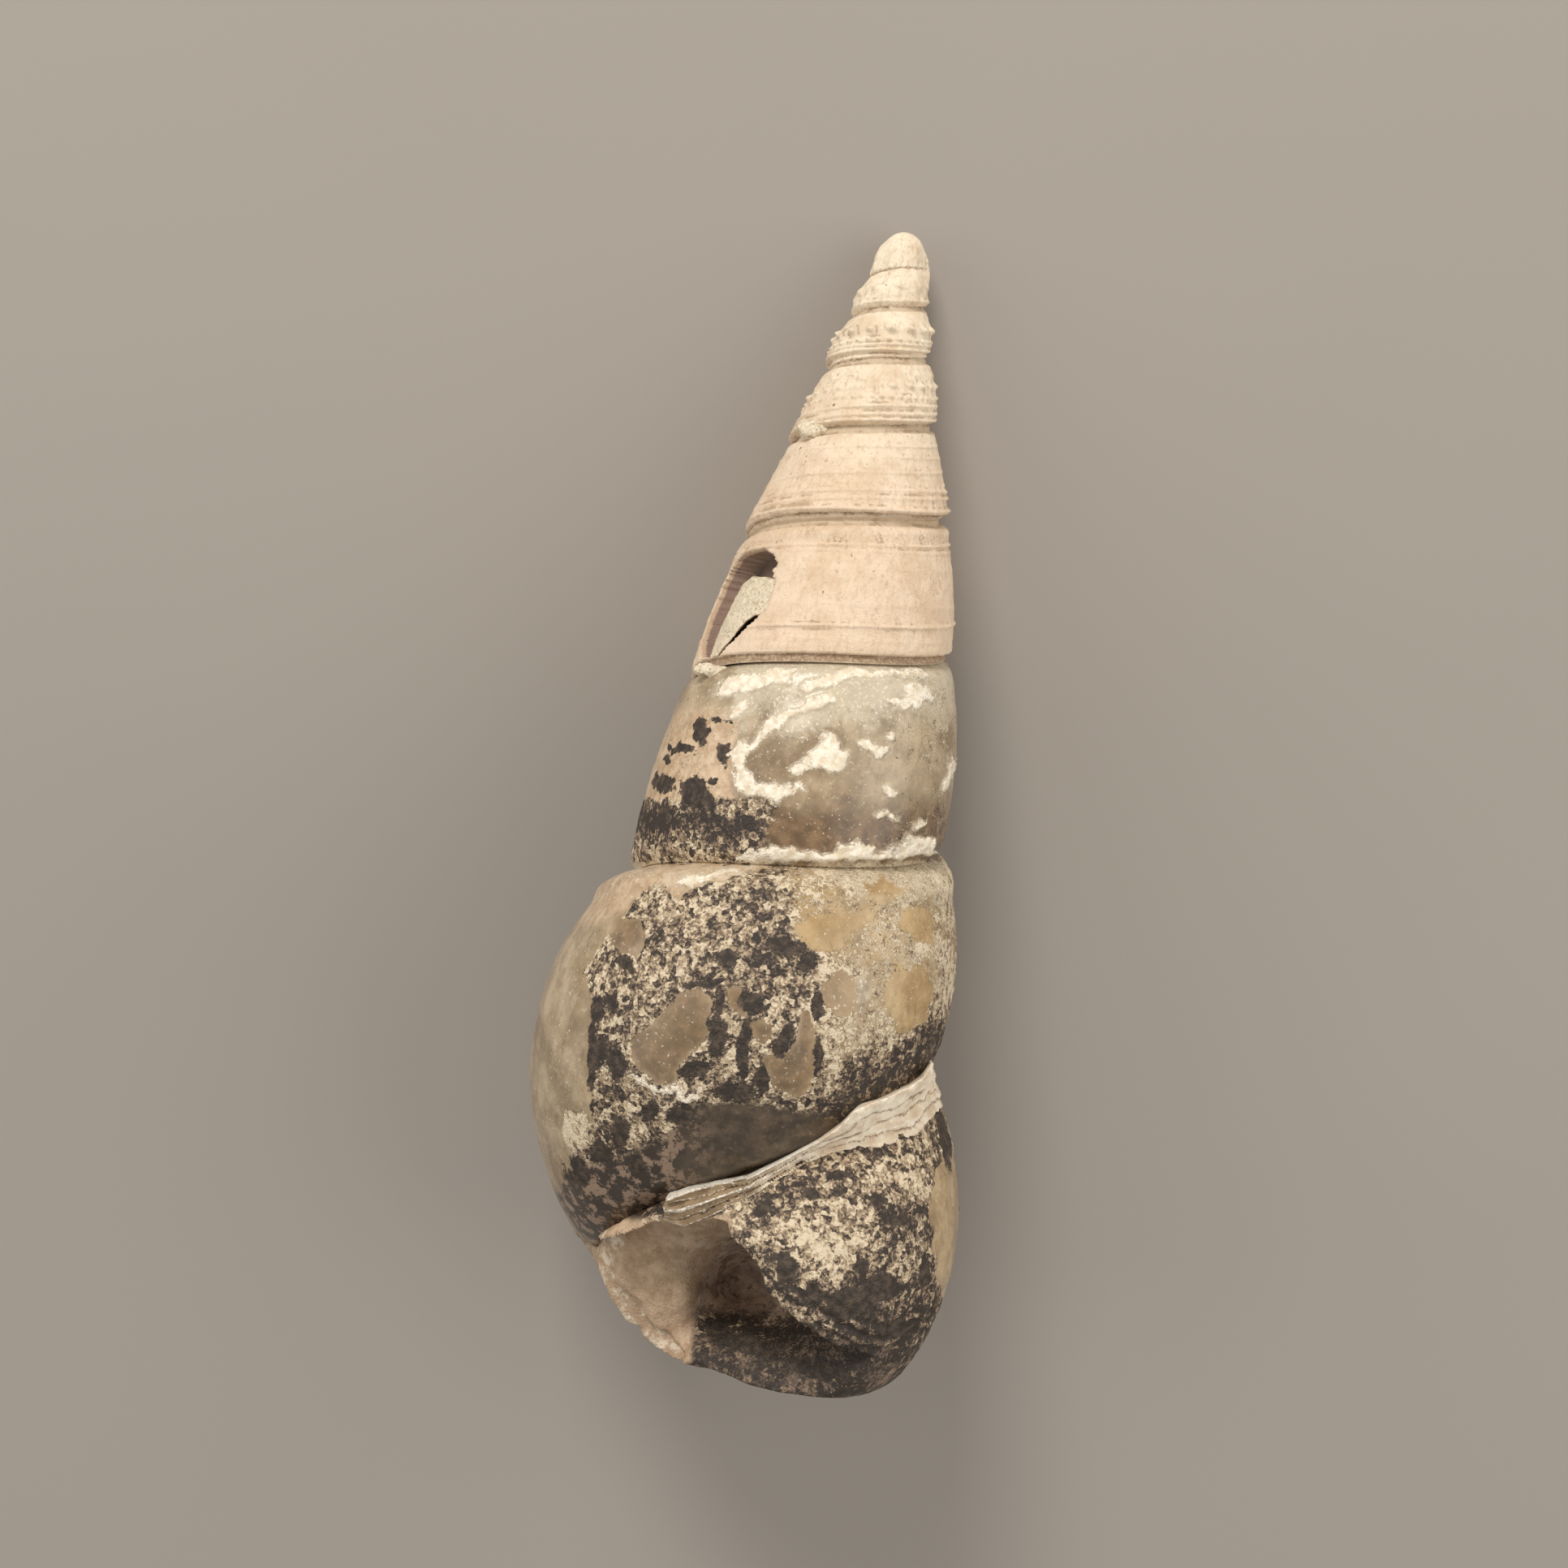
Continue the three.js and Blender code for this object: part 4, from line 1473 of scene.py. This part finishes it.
def crust_on_knob(seen):
    crust = 1 - 0.9 * soft_step(-5, 5, seen.past_line("knob right")) * seen.below("knob side")
    tone = -0.08 + 0.2 * seen.spot("cream of the knob") + 0.32 * seen.spot("top of the knob")
    tone += 0.18 * seen.spot("corner of the knob")
    tone -= 0.14 * seen.below("knob darkens") + 0.08 * seen.below("base darkens")
    return crust, tone


print("crust and tone at the tip", [round(float(v), 2) for v in crust_on_upper(OnPhoto(*PHOTO_TIP))[:2]])

# %% [markdown]
# ## Bare stone
# Where no crust lies, the stone itself changes: warm amber, tan, brown, or veiled with white film.
# A dark, smooth skin, partly painted shade of the lower sides, lies low on the middle whorl and on the base,
# in thick blobs beside the lowest seam, and thinly at the lower left of the upper whorl.

# %% Colours of the bare stone
def bare_colours(seen, whorls, windows, side, left, right):
    upper, middle, lowest = whorls
    clear, amber, ring, streak = windows
    warmth = middle * (0.25 + 0.75 * soft_step(-40, 20, right)) * soft_step(-30, 5, left)
    warmth += 0.55 * lowest + upper * (0.45 * side * seen.below("side warms") + 0.1)
    tan = upper * side * seen.below("side tans") * seen.above("side tan ends")
    tan += 0.8 * middle * seen.above("middle tan ends", 0.25) * seen.left_of("middle tan ends")
    film = upper * (0.75 * seen.above("veil ends") + 0.25 * ring) * (1 - 0.6 * side)
    film += 0.45 * middle * seen.above("middle veil ends")
    film += 0.5 * middle * seen.right_of("right veil") * (1 - amber)
    brown = np.maximum.reduce([
        0.75 * clear, streak, 0.4 * ring * upper, 0.95 * upper * seen.below("stone browns") * (1 - side),
        0.8 * upper * seen.spot("brown in the stone"), 0.5 * middle * seen.spot("brown in the amber"),
        0.4 * middle * seen.below("brown corner") * (1 - soft_step(-10, 10, left)),
    ])
    return np.maximum(warmth, amber), tan, film, brown


def skin_and_shade_field(seen, whorls, black, low, left, patches):
    upper, middle, lowest = whorls
    # Lower side of the middle whorl, the base and the upper whorl's lower left: partly skin, partly painted
    # shade
    shade = soft_step(-10, 22, seen.under_line("skin and shade")) * middle * soft_step(-20, 10, left)
    thick = 0.75 * black * middle * (seen.y > THICK_BLOBS_FROM)
    base = lowest * seen.below("base skin") * seen.left_of("base skin ends")
    low_skin_and_shade = 0.30 * upper * low * seen.above("low skin ends")
    shade = np.maximum.reduce([shade * seen.left_of("skin ends"), thick, 0.47 * base, low_skin_and_shade])
    return shade + 0.25 * patches * (shade > 0.05)


print("skin and shade ready for", len(ROW_LINES["skin and shade"][0]), "points of its upper line")

# %% [markdown]
# ## Fields of the front
# The front is put together from the parts above, whorl by whorl. Windows of bare stone and patches of the
# dark, smooth skin with its painted shade are cut out of the crust again.

# %% Fields of the front
def front_fields(seen, patches, small):
    upper = seen.above("upper seam")
    lowest = soft_step(0, 12, seen.under_line("lowest seam"))
    middle = (1 - upper) * (1 - lowest)
    whorls = upper, middle, lowest
    black = blob_field(seen.x, seen.y, BLACK_BLOBS)
    windows = [outline_field(seen.x, seen.y, outlines)
               for outlines in (CLEAR_WINDOWS, AMBER_WINDOWS, RING_WINDOW, BROWN_STREAKS)]
    clear, amber, ring, streak = windows
    upper_crust, upper_tone, side, low = crust_on_upper(seen)
    middle_crust, middle_tone, left, right = crust_on_middle(seen)
    knob_crust, knob_tone = crust_on_knob(seen)
    shade = skin_and_shade_field(seen, whorls, black, low, left, patches)
    bare = np.maximum.reduce([clear, 0.9 * amber, ring, streak])
    crust = upper_crust * upper + middle_crust * middle + knob_crust * lowest
    tone = upper_tone * upper + middle_tone * middle + knob_tone * lowest
    warmth, tan, film, brown = bare_colours(seen, whorls, windows, side, left, right)
    return {
        "crust": crust * (1 - 0.8 * shade) - 2.4 * np.clip(bare - 0.3, 0, 1),
        "tone": tone, "warmth": warmth, "tan": 0.85 * tan, "brown": brown, "shade": shade, "film": film,
        "black": black + (0.3 + 0.25 * upper) * small + 0.15 * patches * (black > 0),
        "mottle": np.maximum(middle * seen.left_of("mottle ends"), lowest),
    }, lowest


print(len(CLEAR_WINDOWS + AMBER_WINDOWS + RING_WINDOW), "windows in the crust")

# %% [markdown]
# ## Fields all round
# Round the back nothing can be traced, so everything comes from grain, in the same shares as on the
# front. The two meet softly at the sides. Before a place is looked up, grain pulls it about by a few
# pixels, which makes every edge ragged.

# %% Fields all round
def stone_fields(points):
    px, py = photo_place(points)
    front = soft_step(-1.4, 0.6, points[:, 2] + 0.5 * grain(points, 2.0, 20, 2))
    flake_x, flake_y = px + 8 * grain(points, 0.35, 27, 4), py + 8 * grain(points, 0.35, 30, 4)
    seen = OnPhoto(px + 7 * grain(points, 0.8, 21, 4) + 4 * grain(points, 0.22, 27, 2),
                   py + 7 * grain(points, 0.8, 24, 4) + 4 * grain(points, 0.22, 28, 2))
    cloud, patches, small = grain(points, 3.0, 31, 3), grain(points, 1.1, 35, 3), grain(points, 0.45, 38, 3)
    fields, lowest = front_fields(seen, patches, small)
    fields["chalk"] = outline_field(flake_x, flake_y, CHALK_FLAKES)
    back = {
        "crust": 0.55 + 0.5 * cloud + 0.35 * patches, "tone": 0.1 * cloud, "warmth": 0.45 + 0.6 * cloud,
        "tan": 0, "brown": 0.3, "film": 0.25, "black": 0.2 + 0.7 * patches + 0.3 * small,
        "shade": 0.8 * soft_step(0.15, 0.4, grain(points, 2.4, 48, 3)), "mottle": 0.5 + cloud,
        "chalk": soft_step(0.25, 0.6, grain(points, 1.6, 44, 4)) * (-points[:, 1] < 27),
    }
    fields = {key: front * fields[key] + (1 - front) * back[key] for key in fields}
    fields["crust"] += 0.18 * patches + 0.12 * small
    fields["tone"] += (0.15 + 0.19 * lowest) * patches + 0.12 * small
    fields["chalk"] += 0.1 * small
    fields["film"] += 0.3 * patches
    for key in ("warmth", "brown", "shade", "mottle"):
        fields[key] = np.clip(fields[key], 0, 1)
    return fields


print(len(stone_fields(np.full((1, 3), 5.0))), "fields on the stone")

# %% [markdown]
# ## Relief of the stone
# Crust grains stand up a little, and chalk flakes lie on top like flakes of paint. Along the seam
# between the upper and the middle whorl the chalk is a thick, rough ledge.

# %% Relief of the stone
def stone_relief(points, fields):
    seen = OnPhoto(*photo_place(points))
    crust = soft_step(0.35, 0.6, fields["crust"]) * (1 - fields["shade"])
    flake = soft_step(0.42, 0.56, fields["chalk"])
    on_seam = seen.below("seam chalk") * seen.above("seam chalk ends") * (points[:, 2] > 0)
    lumps = 0.05 * grain(points, 1.8, 61, 3)
    granules = crust * (0.055 * grain(points, 0.3, 65, 3) + 0.02)
    chalk_height = 0.06 + 0.14 * on_seam + (0.05 + 0.1 * on_seam) * grain(points, 0.4, 68, 4)
    return lumps + granules * (1 - flake) + flake * chalk_height


print("relief ready")

# %% [markdown]
# ## Upper and middle cast
# The two stone whorls are barrels like the spire, with finer rows. Their seams are cut in as
# grooves, and the older whorl has a shoulder just below its seam.

# %% Upper and middle cast
def cast_groove(turn, across):
    below, above = across * whorl_pitch(turn), (1 - across) * whorl_pitch(turn)
    shoulder = (0.05 + 0.25 * soft_step(5.8, 6.2, turn)) * np.exp(-((below - 0.8) / 0.5) ** 2)
    return shoulder - 0.3 * np.exp(-(below / 0.22) ** 2) - 0.22 * np.exp(-(above / 0.3) ** 2)


def cast_ring(name, upper_start, lower_start, columns, rows):
    columns, rows = int(columns * COARSE), int(rows * COARSE)
    around = np.tile(np.arange(columns) / columns, rows)
    level = np.repeat(np.linspace(0, 1, rows), columns)
    upper = front_to_back(around, upper_start)
    lower = front_to_back(around, lower_start)
    drop = upper + (lower - upper) * np.clip(level, 1e-4, 1 - 1e-4)
    radius, turn, across = shell_radius(around, drop)
    points = ring_points(around, drop, radius)
    fields = stone_fields(points)
    on_front = 1 - soft_step(0.5, 0.56, around) * (1 - soft_step(0.94, 1, around))
    radius = radius + cast_groove(turn, across) * (0.25 + 0.75 * on_front) + stone_relief(points, fields)
    points = ring_points(around, drop, radius)
    ends = [[0, -drop[0] - 1.5, 0], [0, -drop[-1] + 1.5, 0]]
    return make_barrel(name, points, ends, (rows, columns), fields, stone)


cast_ring("upper_cast_whorl", 5, 6, 440, 118)
cast_ring("middle_cast_whorl", 6, 7, 560, 176)

# %% [markdown]
# ## Lower cast
# The last whorl has lost most of its wall. On the right its stone filling is left as a rough knob.
# On the left only a pale brown piece of the inner wall remains, and between them lies a dark
# hollow. The outlines of these parts are read off the photograph, each point with a guessed depth
# in front of the axis in millimetres. The broken front is a bent sheet through such points.

# %% Outlines of the break
CARVED = shell_outline([
    (700, 1530, 0), (733, 1521, 0.5), (778, 1508, 2.5), (805, 1498, 3.6), (844, 1497, 4.5),
    (880, 1497, 5.3), (893, 1503, 6), (896, 1511, 7), (905, 1525, 7), (925, 1542, 7.3), (936, 1559, 7.3),
    (940, 1575, 7.3), (951, 1594, 7.2), (975, 1613, 7.2), (994, 1628, 7), (1017, 1648, 6.8),
    (1055, 1667, 6.6), (1082, 1679, 6.3), (1105, 1675, 6), (1125, 1659, 5.5), (1150, 1665, 5),
    (1190, 1700, 4), (1200, 1780, 4), (690, 1780, 0),
])
BROKEN_SHEET = sheet([
    (728, 1535, 0.3), (733, 1560, 0.5), (750, 1610, 0.8), (775, 1632, 1.0), (760, 1545, 1.5),
    (778, 1520, 2.5), (805, 1508, 3.4), (844, 1507, 4.1), (885, 1508, 4.6), (790, 1560, 1.9),
    (820, 1540, 2.5), (850, 1532, 3.0), (875, 1524, 3.5), (830, 1580, 1.9), (790, 1600, 1.4),
    (815, 1625, 1.4), (838, 1648, 1.5), (852, 1600, 1.6), (893, 1545, 0.9), (872, 1580, 0.4),
    (905, 1560, -0.8), (925, 1575, -1.0), (900, 1600, -0.7), (868, 1620, 0.7), (935, 1600, -0.4),
    (955, 1622, 1.0), (870, 1660, 2.0), (900, 1640, 1.5), (930, 1650, 2.5), (900, 1685, 3.0),
    (965, 1655, 3.0), (1000, 1672, 4.2), (1050, 1692, 5.2), (950, 1692, 4.0), (1000, 1705, 4.6),
    (1100, 1698, 5.6), (1060, 1716, 5.0), (1140, 1680, 5.2), (1160, 1650, 5.0),
])
OUTER_LAYER = shell_outline([
    (700, 1500, 1), (768, 1512, 2), (772, 1532, 2), (757, 1556, 1.5), (759, 1575, 1.3), (779, 1598, 1.3),
    (801, 1625, 1.3), (821, 1641, 1.3), (846, 1668, 1.5), (800, 1720, 1), (690, 1720, 1),
])
LIP_WALL = shell_outline([
    (700, 1500, 1), (900, 1490, 5), (899, 1513, 4), (889, 1536, 2), (874, 1560, 1.5), (859, 1585, 1),
    (853, 1617, 1), (852, 1644, 1.5), (850, 1672, 1.5), (800, 1720, 1), (690, 1720, 1),
])
SCAR_LINE = shell_outline([(850, 1545, 3), (856, 1537, 3), (862, 1536, 3), (868, 1527, 3)])
print("knob edge starts at", CARVED[7].round(2))

# %% [markdown]
# ## Outside and base
# The whorl is one field put together from simple ones. The winding gives the outside. It is tucked
# in above the seam, where the middle cast covers it. The base is a shallow bowl, a little higher on
# the left.

# %% Outside and base
BASE_DROP, BASE_CENTRE_X = 45.0, 1.2
BASE_REACH, BASE_BOW, BASE_POWER = 8.0, 0.7, 2.5
LEFT_LIFT = 0.9
TUCK, TUCK_ABOVE, LOWEST_SEAM = 0.05, 0.4, 7


def lower_radius_field(points):
    around, drop = around_and_drop(points)
    seam = along_winding(SEAM_DROP, LOWEST_SEAM + around)
    seam = np.where(around <= 0.5, seam, front_to_back(around, LOWEST_SEAM))
    tucked = TUCK + TUCK_ABOVE * soft_step(0.2, -0.1, drop - seam)
    return tucked - depth_below_surface(points), drop - seam


def base_field(points):
    spread = np.hypot(points[:, 0] - BASE_CENTRE_X, points[:, 2]) / BASE_REACH
    floor = BASE_DROP - 0.1 - BASE_BOW * spread ** BASE_POWER
    floor = floor - LEFT_LIFT * soft_step(0.2, 0.9, -(points[:, 0] - 1) / 5.5)
    return -points[:, 1] - floor


print("base field at the tip", base_field(np.zeros((1, 3))).round(1), "mm, outside the solid when positive")

# %% [markdown]
# ## Field of the lower cast
# Outside and base are melted together. To the left of the knob's edge the bent sheet cuts the front
# away, and the lip's outer layer stands a little back from it. Grain moves these edges, but only
# near the surface, where it shows.

# %% Field of the lower cast
BASE_MELT, ABOVE_SEAM, LAYER_STEP = 0.5, 0.9, 0.35
BREAK_TOP, BREAK_BACK = -37.5, -2


def smooth_larger(first, second, reach):
    blend = np.clip(0.5 + (first - second) / (2 * reach), 0, 1)
    return second + (first - second) * blend + reach * blend * (1 - blend)


def lower_cast_field(points):
    outside, below_seam = lower_radius_field(points)
    body = smooth_larger(outside, base_field(points), BASE_MELT)
    body = np.maximum(body, -ABOVE_SEAM - below_seam)
    near = np.abs(body) < 0.6
    near |= (points[:, 2] > BREAK_BACK) & (points[:, 1] < BREAK_TOP)
    rough = np.zeros(len(points))
    rough[near] = grain(points[near], 0.9, 71, 3)
    column_x = points[:, 0] + 0.22 * rough
    column_y = points[:, 1] + 0.18 * rough
    outer = polygon_depth(column_x, column_y, OUTER_LAYER)
    front = BROKEN_SHEET(points[:, 0], points[:, 1]) - LAYER_STEP * soft_step(-0.04, 0.04, outer)
    carved = polygon_depth(column_x, column_y, CARVED)
    return np.maximum(body, np.minimum(carved, points[:, 2] - front))


CAST_LOW, CAST_HIGH = np.array([-6.6, -45.8, -9.6]), np.array([9.8, -31.0, 10.0])
cast_step = 0.111 / COARSE
net, quads, cast_field = net_of(lower_cast_field, CAST_LOW, CAST_HIGH, cast_step)
print("lower cast net of", len(net), "points")

# %% [markdown]
# ## Which way is out
# The fine relief has to push each point of the net straight outwards. The field grows fastest in
# that direction, so its slope, read between the lattice points, is the direction to use.

# %% Outward direction
def read_lattice(values, at):
    place = np.clip((at - CAST_LOW) / cast_step, 0, np.array(values.shape) - 1.001)
    cell = place.astype(int)
    share = place - cell
    total = np.zeros(len(at))
    for corner in np.ndindex(2, 2, 2):
        weight = np.prod(np.where(corner, share, 1 - share), axis=1)
        total += weight * values[tuple((cell + corner).T)]
    return total


outward = np.stack([read_lattice(slope, net) for slope in np.gradient(cast_field, cast_step)], axis=1)
outward /= np.maximum(np.linalg.norm(outward, axis=1), 1e-6)[:, None]
print("mean direction", outward.mean(axis=0).round(2))

# %% [markdown]
# ## Lip, hollow and torn layers
# The lip is the part of the bent sheet inside its outline. The hollow is whatever was carved away
# and lies deep. Beside the knob's lower edge the stone is torn in thin layers, which show as fine
# ridges that follow the edge.

# %% Lip, hollow and torn layers
LIP_TOP, HOLLOW_BACK, LAYERS_FRONT = -37.8, -2.5, 2
LAYER_SPACING, LAYER_TONE, LAYER_RISE = 0.46, 0.18, 0.07


def break_fields(points):
    x, y, z = points.T
    photo_x, photo_y = photo_place(points)
    seen = OnPhoto(photo_x, photo_y + 9 * grain(points, 0.7, 79, 3))
    sheet_gap = np.abs(z - BROKEN_SHEET(x, y))
    on_sheet = np.maximum(1 - soft_step(0.5, 0.9, sheet_gap), soft_step(-0.5, 0.5, z))
    in_lip = polygon_depth(x + 0.1 * grain(points, 0.5, 75, 2), y, LIP_WALL)
    lip = soft_step(-0.2, 0.1, in_lip) * on_sheet * (y < LIP_TOP)
    carve_depth = polygon_depth(x, y, CARVED)
    hollow = soft_step(0, 0.3, carve_depth) * (1 - soft_step(2.0, 3.2, z)) * (1 - lip)
    past_edge = 0.18 * grain(points, 0.9, 89, 3) - carve_depth
    layers = np.cos(2 * math.pi * past_edge / LAYER_SPACING) * (z > LAYERS_FRONT) * seen.below("torn layers")
    return {
        "lip": lip,
        "hollow": hollow * (z > HOLLOW_BACK) * seen.above("hollow ends"),
        "outer": soft_step(-0.02, 0.1, polygon_depth(x, y, OUTER_LAYER)) * lip,
        "scar": soft_step(0.09, 0.02, line_distance(x, y, SCAR_LINE)) * lip,
    }, layers * soft_step(0.05, 0.25, past_edge) * soft_step(1.7, 0.9, past_edge)


fields = stone_fields(net)
broken, layers = break_fields(net)
fields.update(broken)
fields["tone"] += LAYER_TONE * layers
lip = fields["lip"]
relief = stone_relief(net, fields) * (1 - lip) + (0.03 + 0.05 * lip) * grain(net, 0.45, 77, 3)
points = net + outward * (relief + LAYER_RISE * layers)[:, None]
make_piece("lower_cast_whorl", points, quads, fields, stone)

# %% [markdown]
# ## Ribbon of shell
# Along the lowest seam a ribbon of the old wall is left. Its top and foot are traced on the
# photograph, again with a depth. It follows the shell's surface, smoothed along the axis so that it
# bridges the seam instead of dipping into it.

# %% Outline of the ribbon
RIBBON_TOP = [
    (1140, 1300, 0), (1132, 1315, 0.5), (1117, 1331, 2.4), (1055, 1361, 5), (1036, 1382, 5.4),
    (1009, 1403, 5.8), (959, 1431, 6.1), (921, 1450, 6), (882, 1457, 6), (844, 1465, 5.6), (820, 1473, 5.2),
]
RIBBON_FOOT = [
    (1165, 1366, 0), (1150, 1375, 1.5), (1132, 1402, 4), (1098, 1418, 6), (1059, 1424, 6.8), (1025, 1428, 7),
    (990, 1441, 7), (959, 1456, 6.8), (921, 1476, 6.6), (901, 1484, 6.4), (871, 1497, 5.8),
    (844, 1506, 5.4), (818, 1499, 5.0),
]
SMOOTH_REACH, SMOOTH_STEPS = 0.35, 20
ribbon_outline = shell_outline(RIBBON_TOP + RIBBON_FOOT[::-1])
ribbon_top, ribbon_foot = shell_outline(RIBBON_TOP), shell_outline(RIBBON_FOOT)
smoothing = np.exp(-(np.arange(-SMOOTH_STEPS, SMOOTH_STEPS + 1) * TABLE_STEP / SMOOTH_REACH) ** 2)
smoothing /= smoothing.sum()
smooth_table = np.apply_along_axis(lambda line: np.convolve(line, smoothing, "same"), 1, radius_table)


def ribbon_across(x, y):
    top, foot = line_distance(x, y, ribbon_top), line_distance(x, y, ribbon_foot)
    return top / np.maximum(top + foot, 1e-6)


print("ribbon outline of", len(ribbon_outline), "points")

# %% [markdown]
# ## Pages of the ribbon
# The wall is built of thin layers, like the pages of a book. Each page ends a little further back than the
# one under it, along a ragged line, so the ribbon breaks into steps. Every step has a painted highlight along
# its torn edge, and below it a darkening that is partly dirt and partly painted shadow. On the narrow left
# part the layers are worn to fine ridges, with painted highlights on their crests and painted shade in their
# troughs.

# %% Pages of the ribbon
PAGE_EDGES, PAGE_DROP = [0.26, 0.50, 0.74], 0.19
RIDGE_WAVE, NARROW_RIGHT, NARROW_LEFT = 12.5, 4.0, 2.5


def page_steps(points, across):
    height, light, dirt_and_shadow = np.zeros(len(points)), np.zeros(len(points)), np.zeros(len(points))
    for number, edge in enumerate(PAGE_EDGES):
        ragged = 0.16 * grain(points, 1.0, 82 + 7 * number, 3) + 0.05 * grain(points, 0.3, 85 + 7 * number, 3)
        beyond = across - edge - ragged
        height -= PAGE_DROP * soft_step(-0.02, 0.02, beyond)
        # light is a painted highlight along the torn edge; below the edge lie dirt and painted shadow
        light = np.maximum(light, np.exp(-((beyond + 0.035) / 0.03) ** 2))
        dirt_and_shadow = np.maximum(dirt_and_shadow, soft_step(0.0, 0.02, beyond) * np.exp(-beyond / 0.07) * (beyond > 0))
    return height, light, dirt_and_shadow


def fine_ridges(points, across):
    return np.cos(across * RIDGE_WAVE), soft_step(NARROW_RIGHT, NARROW_LEFT, points[:, 0])


print(len(PAGE_EDGES) + 1, "pages")

# %% [markdown]
# ## Ribbon mesh
# The ribbon is a field too: its height over the smoothed surface, cut off at the ragged outline. At
# its left end it stands up where it snapped, and behind the right side it fades out.

# %% Ribbon of shell
RIBBON_HEIGHT, END_RISE, END_PLACE = 0.62, 0.7, -2.0
RIBBON_LOW, RIBBON_HIGH = np.array([-3.2, -41.5, -2.0]), np.array([8.6, -31.4, 8.2])
RIBBON_STEP, NOTHING_HERE = 0.075, -9.0


def ribbon_height(points, across):
    wave, narrow = fine_ridges(points, across)
    broken_end = np.exp(-((points[:, 0] - END_PLACE) / 0.9) ** 2)
    height = RIBBON_HEIGHT + page_steps(points, across)[0] + END_RISE * broken_end * (1 - across)
    return height + 0.09 * grain(points, 0.5, 84, 4) + 0.10 * wave * narrow


def ribbon_field(points):
    x, y, z = points.T
    around, drop = around_and_drop(points)
    outside = np.hypot(x, z) - read_table(smooth_table, around, drop)
    ragged = 0.20 * grain(points, 0.7, 81, 4) + 0.5 * soft_step(3.0, 0.5, z) * grain(points, 1.6, 86, 3)
    inside = polygon_depth(x + ragged, y + ragged, ribbon_outline)
    height = np.full(len(points), NOTHING_HERE)
    near = np.abs(outside - 0.3) < 1.1
    height[near] = ribbon_height(points[near], ribbon_across(x, y)[near])
    faded = grain(points, 1.2, 87, 4) - 0.9 - z
    return np.maximum.reduce([outside - height, -inside, -0.8 - outside, faded])


points, quads, _ = net_of(ribbon_field, RIBBON_LOW, RIBBON_HIGH, RIBBON_STEP / COARSE)
across = ribbon_across(points[:, 0], points[:, 1])
_, light, dirt_and_shadow = page_steps(points, across)
wave, narrow = fine_ridges(points, across)
# groove: dirt and painted shadow below the steps, painted shade in the ridge troughs; edge: painted
# highlights on torn edges and ridge crests
fields = {
    "groove": np.maximum(1.1 * dirt_and_shadow, 0.45 * soft_step(0.2, 0.9, -wave) * narrow),
    "edge": np.maximum(0.8 * light, 0.75 * soft_step(0.55, 0.95, wave) * narrow),
    "old": soft_step(2.6, 0.6, points[:, 0] + 0.6 * grain(points, 0.8, 88, 3)),
}
make_piece("shell_ribbon", points, quads, fields, layered)

# %% [markdown]
# ## Table
# The table is plain and pale, so nothing draws the eye from the shell. A hair's breadth keeps it
# below the flats on which the shell rests.

# %% Table
TABLE_SIZE, TABLE_GAP = 1.2, 0.02 * MM
table_finish = Colouring("table")
table_colour = table_finish.blend(table_finish.noise(40, 2.0), (160, 152, 143), (166, 158, 149))
table_finish.wire(Base_Color=table_colour, Roughness=0.9)
bpy.ops.mesh.primitive_plane_add(size=TABLE_SIZE, location=(0, 0, -TABLE_GAP))
table = bpy.context.object
table.name = "table"
table.data.materials.append(table_finish.material)
print("table", TABLE_SIZE, "m wide")

# %% [markdown]
# ## Light
# The light on the photograph is soft and comes from beyond the tip. A small lamp does most of the
# work, two larger and weaker ones low at the sides light the flanks, and an even sky fills the
# shadows. All lamps point at the middle of the shell.

# %% Lights
LAMPS = [
    # name, place, size, power, tint
    ("window", (-0.10, 0.25, 0.19), 0.11, 0.68, (1.0, 0.98, 0.95)),
    ("left", (-0.22, 0.02, 0.10), 0.22, 0.17, (1.0, 0.98, 0.95)),
    ("right", (0.22, 0.07, 0.14), 0.26, 0.37, (1.0, 0.97, 0.93)),
]
SHELL_MIDDLE = Vector((0, 0, 0.007))
SKY_TINT, SKY_STRENGTH = (1.0, 0.98, 0.95, 1.0), 0.40


def soft_lamp(name, place, size, power, tint):
    lamp_data = bpy.data.lights.new(name, "AREA")
    lamp_data.energy = power
    lamp_data.size = size
    lamp_data.color = tint
    lamp = bpy.data.objects.new(name, lamp_data)
    bpy.context.collection.objects.link(lamp)
    lamp.location = place
    lamp.rotation_mode = "QUATERNION"
    lamp.rotation_quaternion = (SHELL_MIDDLE - Vector(place)).to_track_quat("-Z", "Y")


for lamp in LAMPS:
    soft_lamp(*lamp)
sky = bpy.data.worlds.new("sky")
sky.use_nodes = True
background = sky.node_tree.nodes["Background"]
background.inputs["Color"].default_value = SKY_TINT
background.inputs["Strength"].default_value = SKY_STRENGTH
bpy.context.scene.world = sky
bpy.context.scene.view_settings.view_transform = "Standard"
print(len(LAMPS), "lamps and a sky")
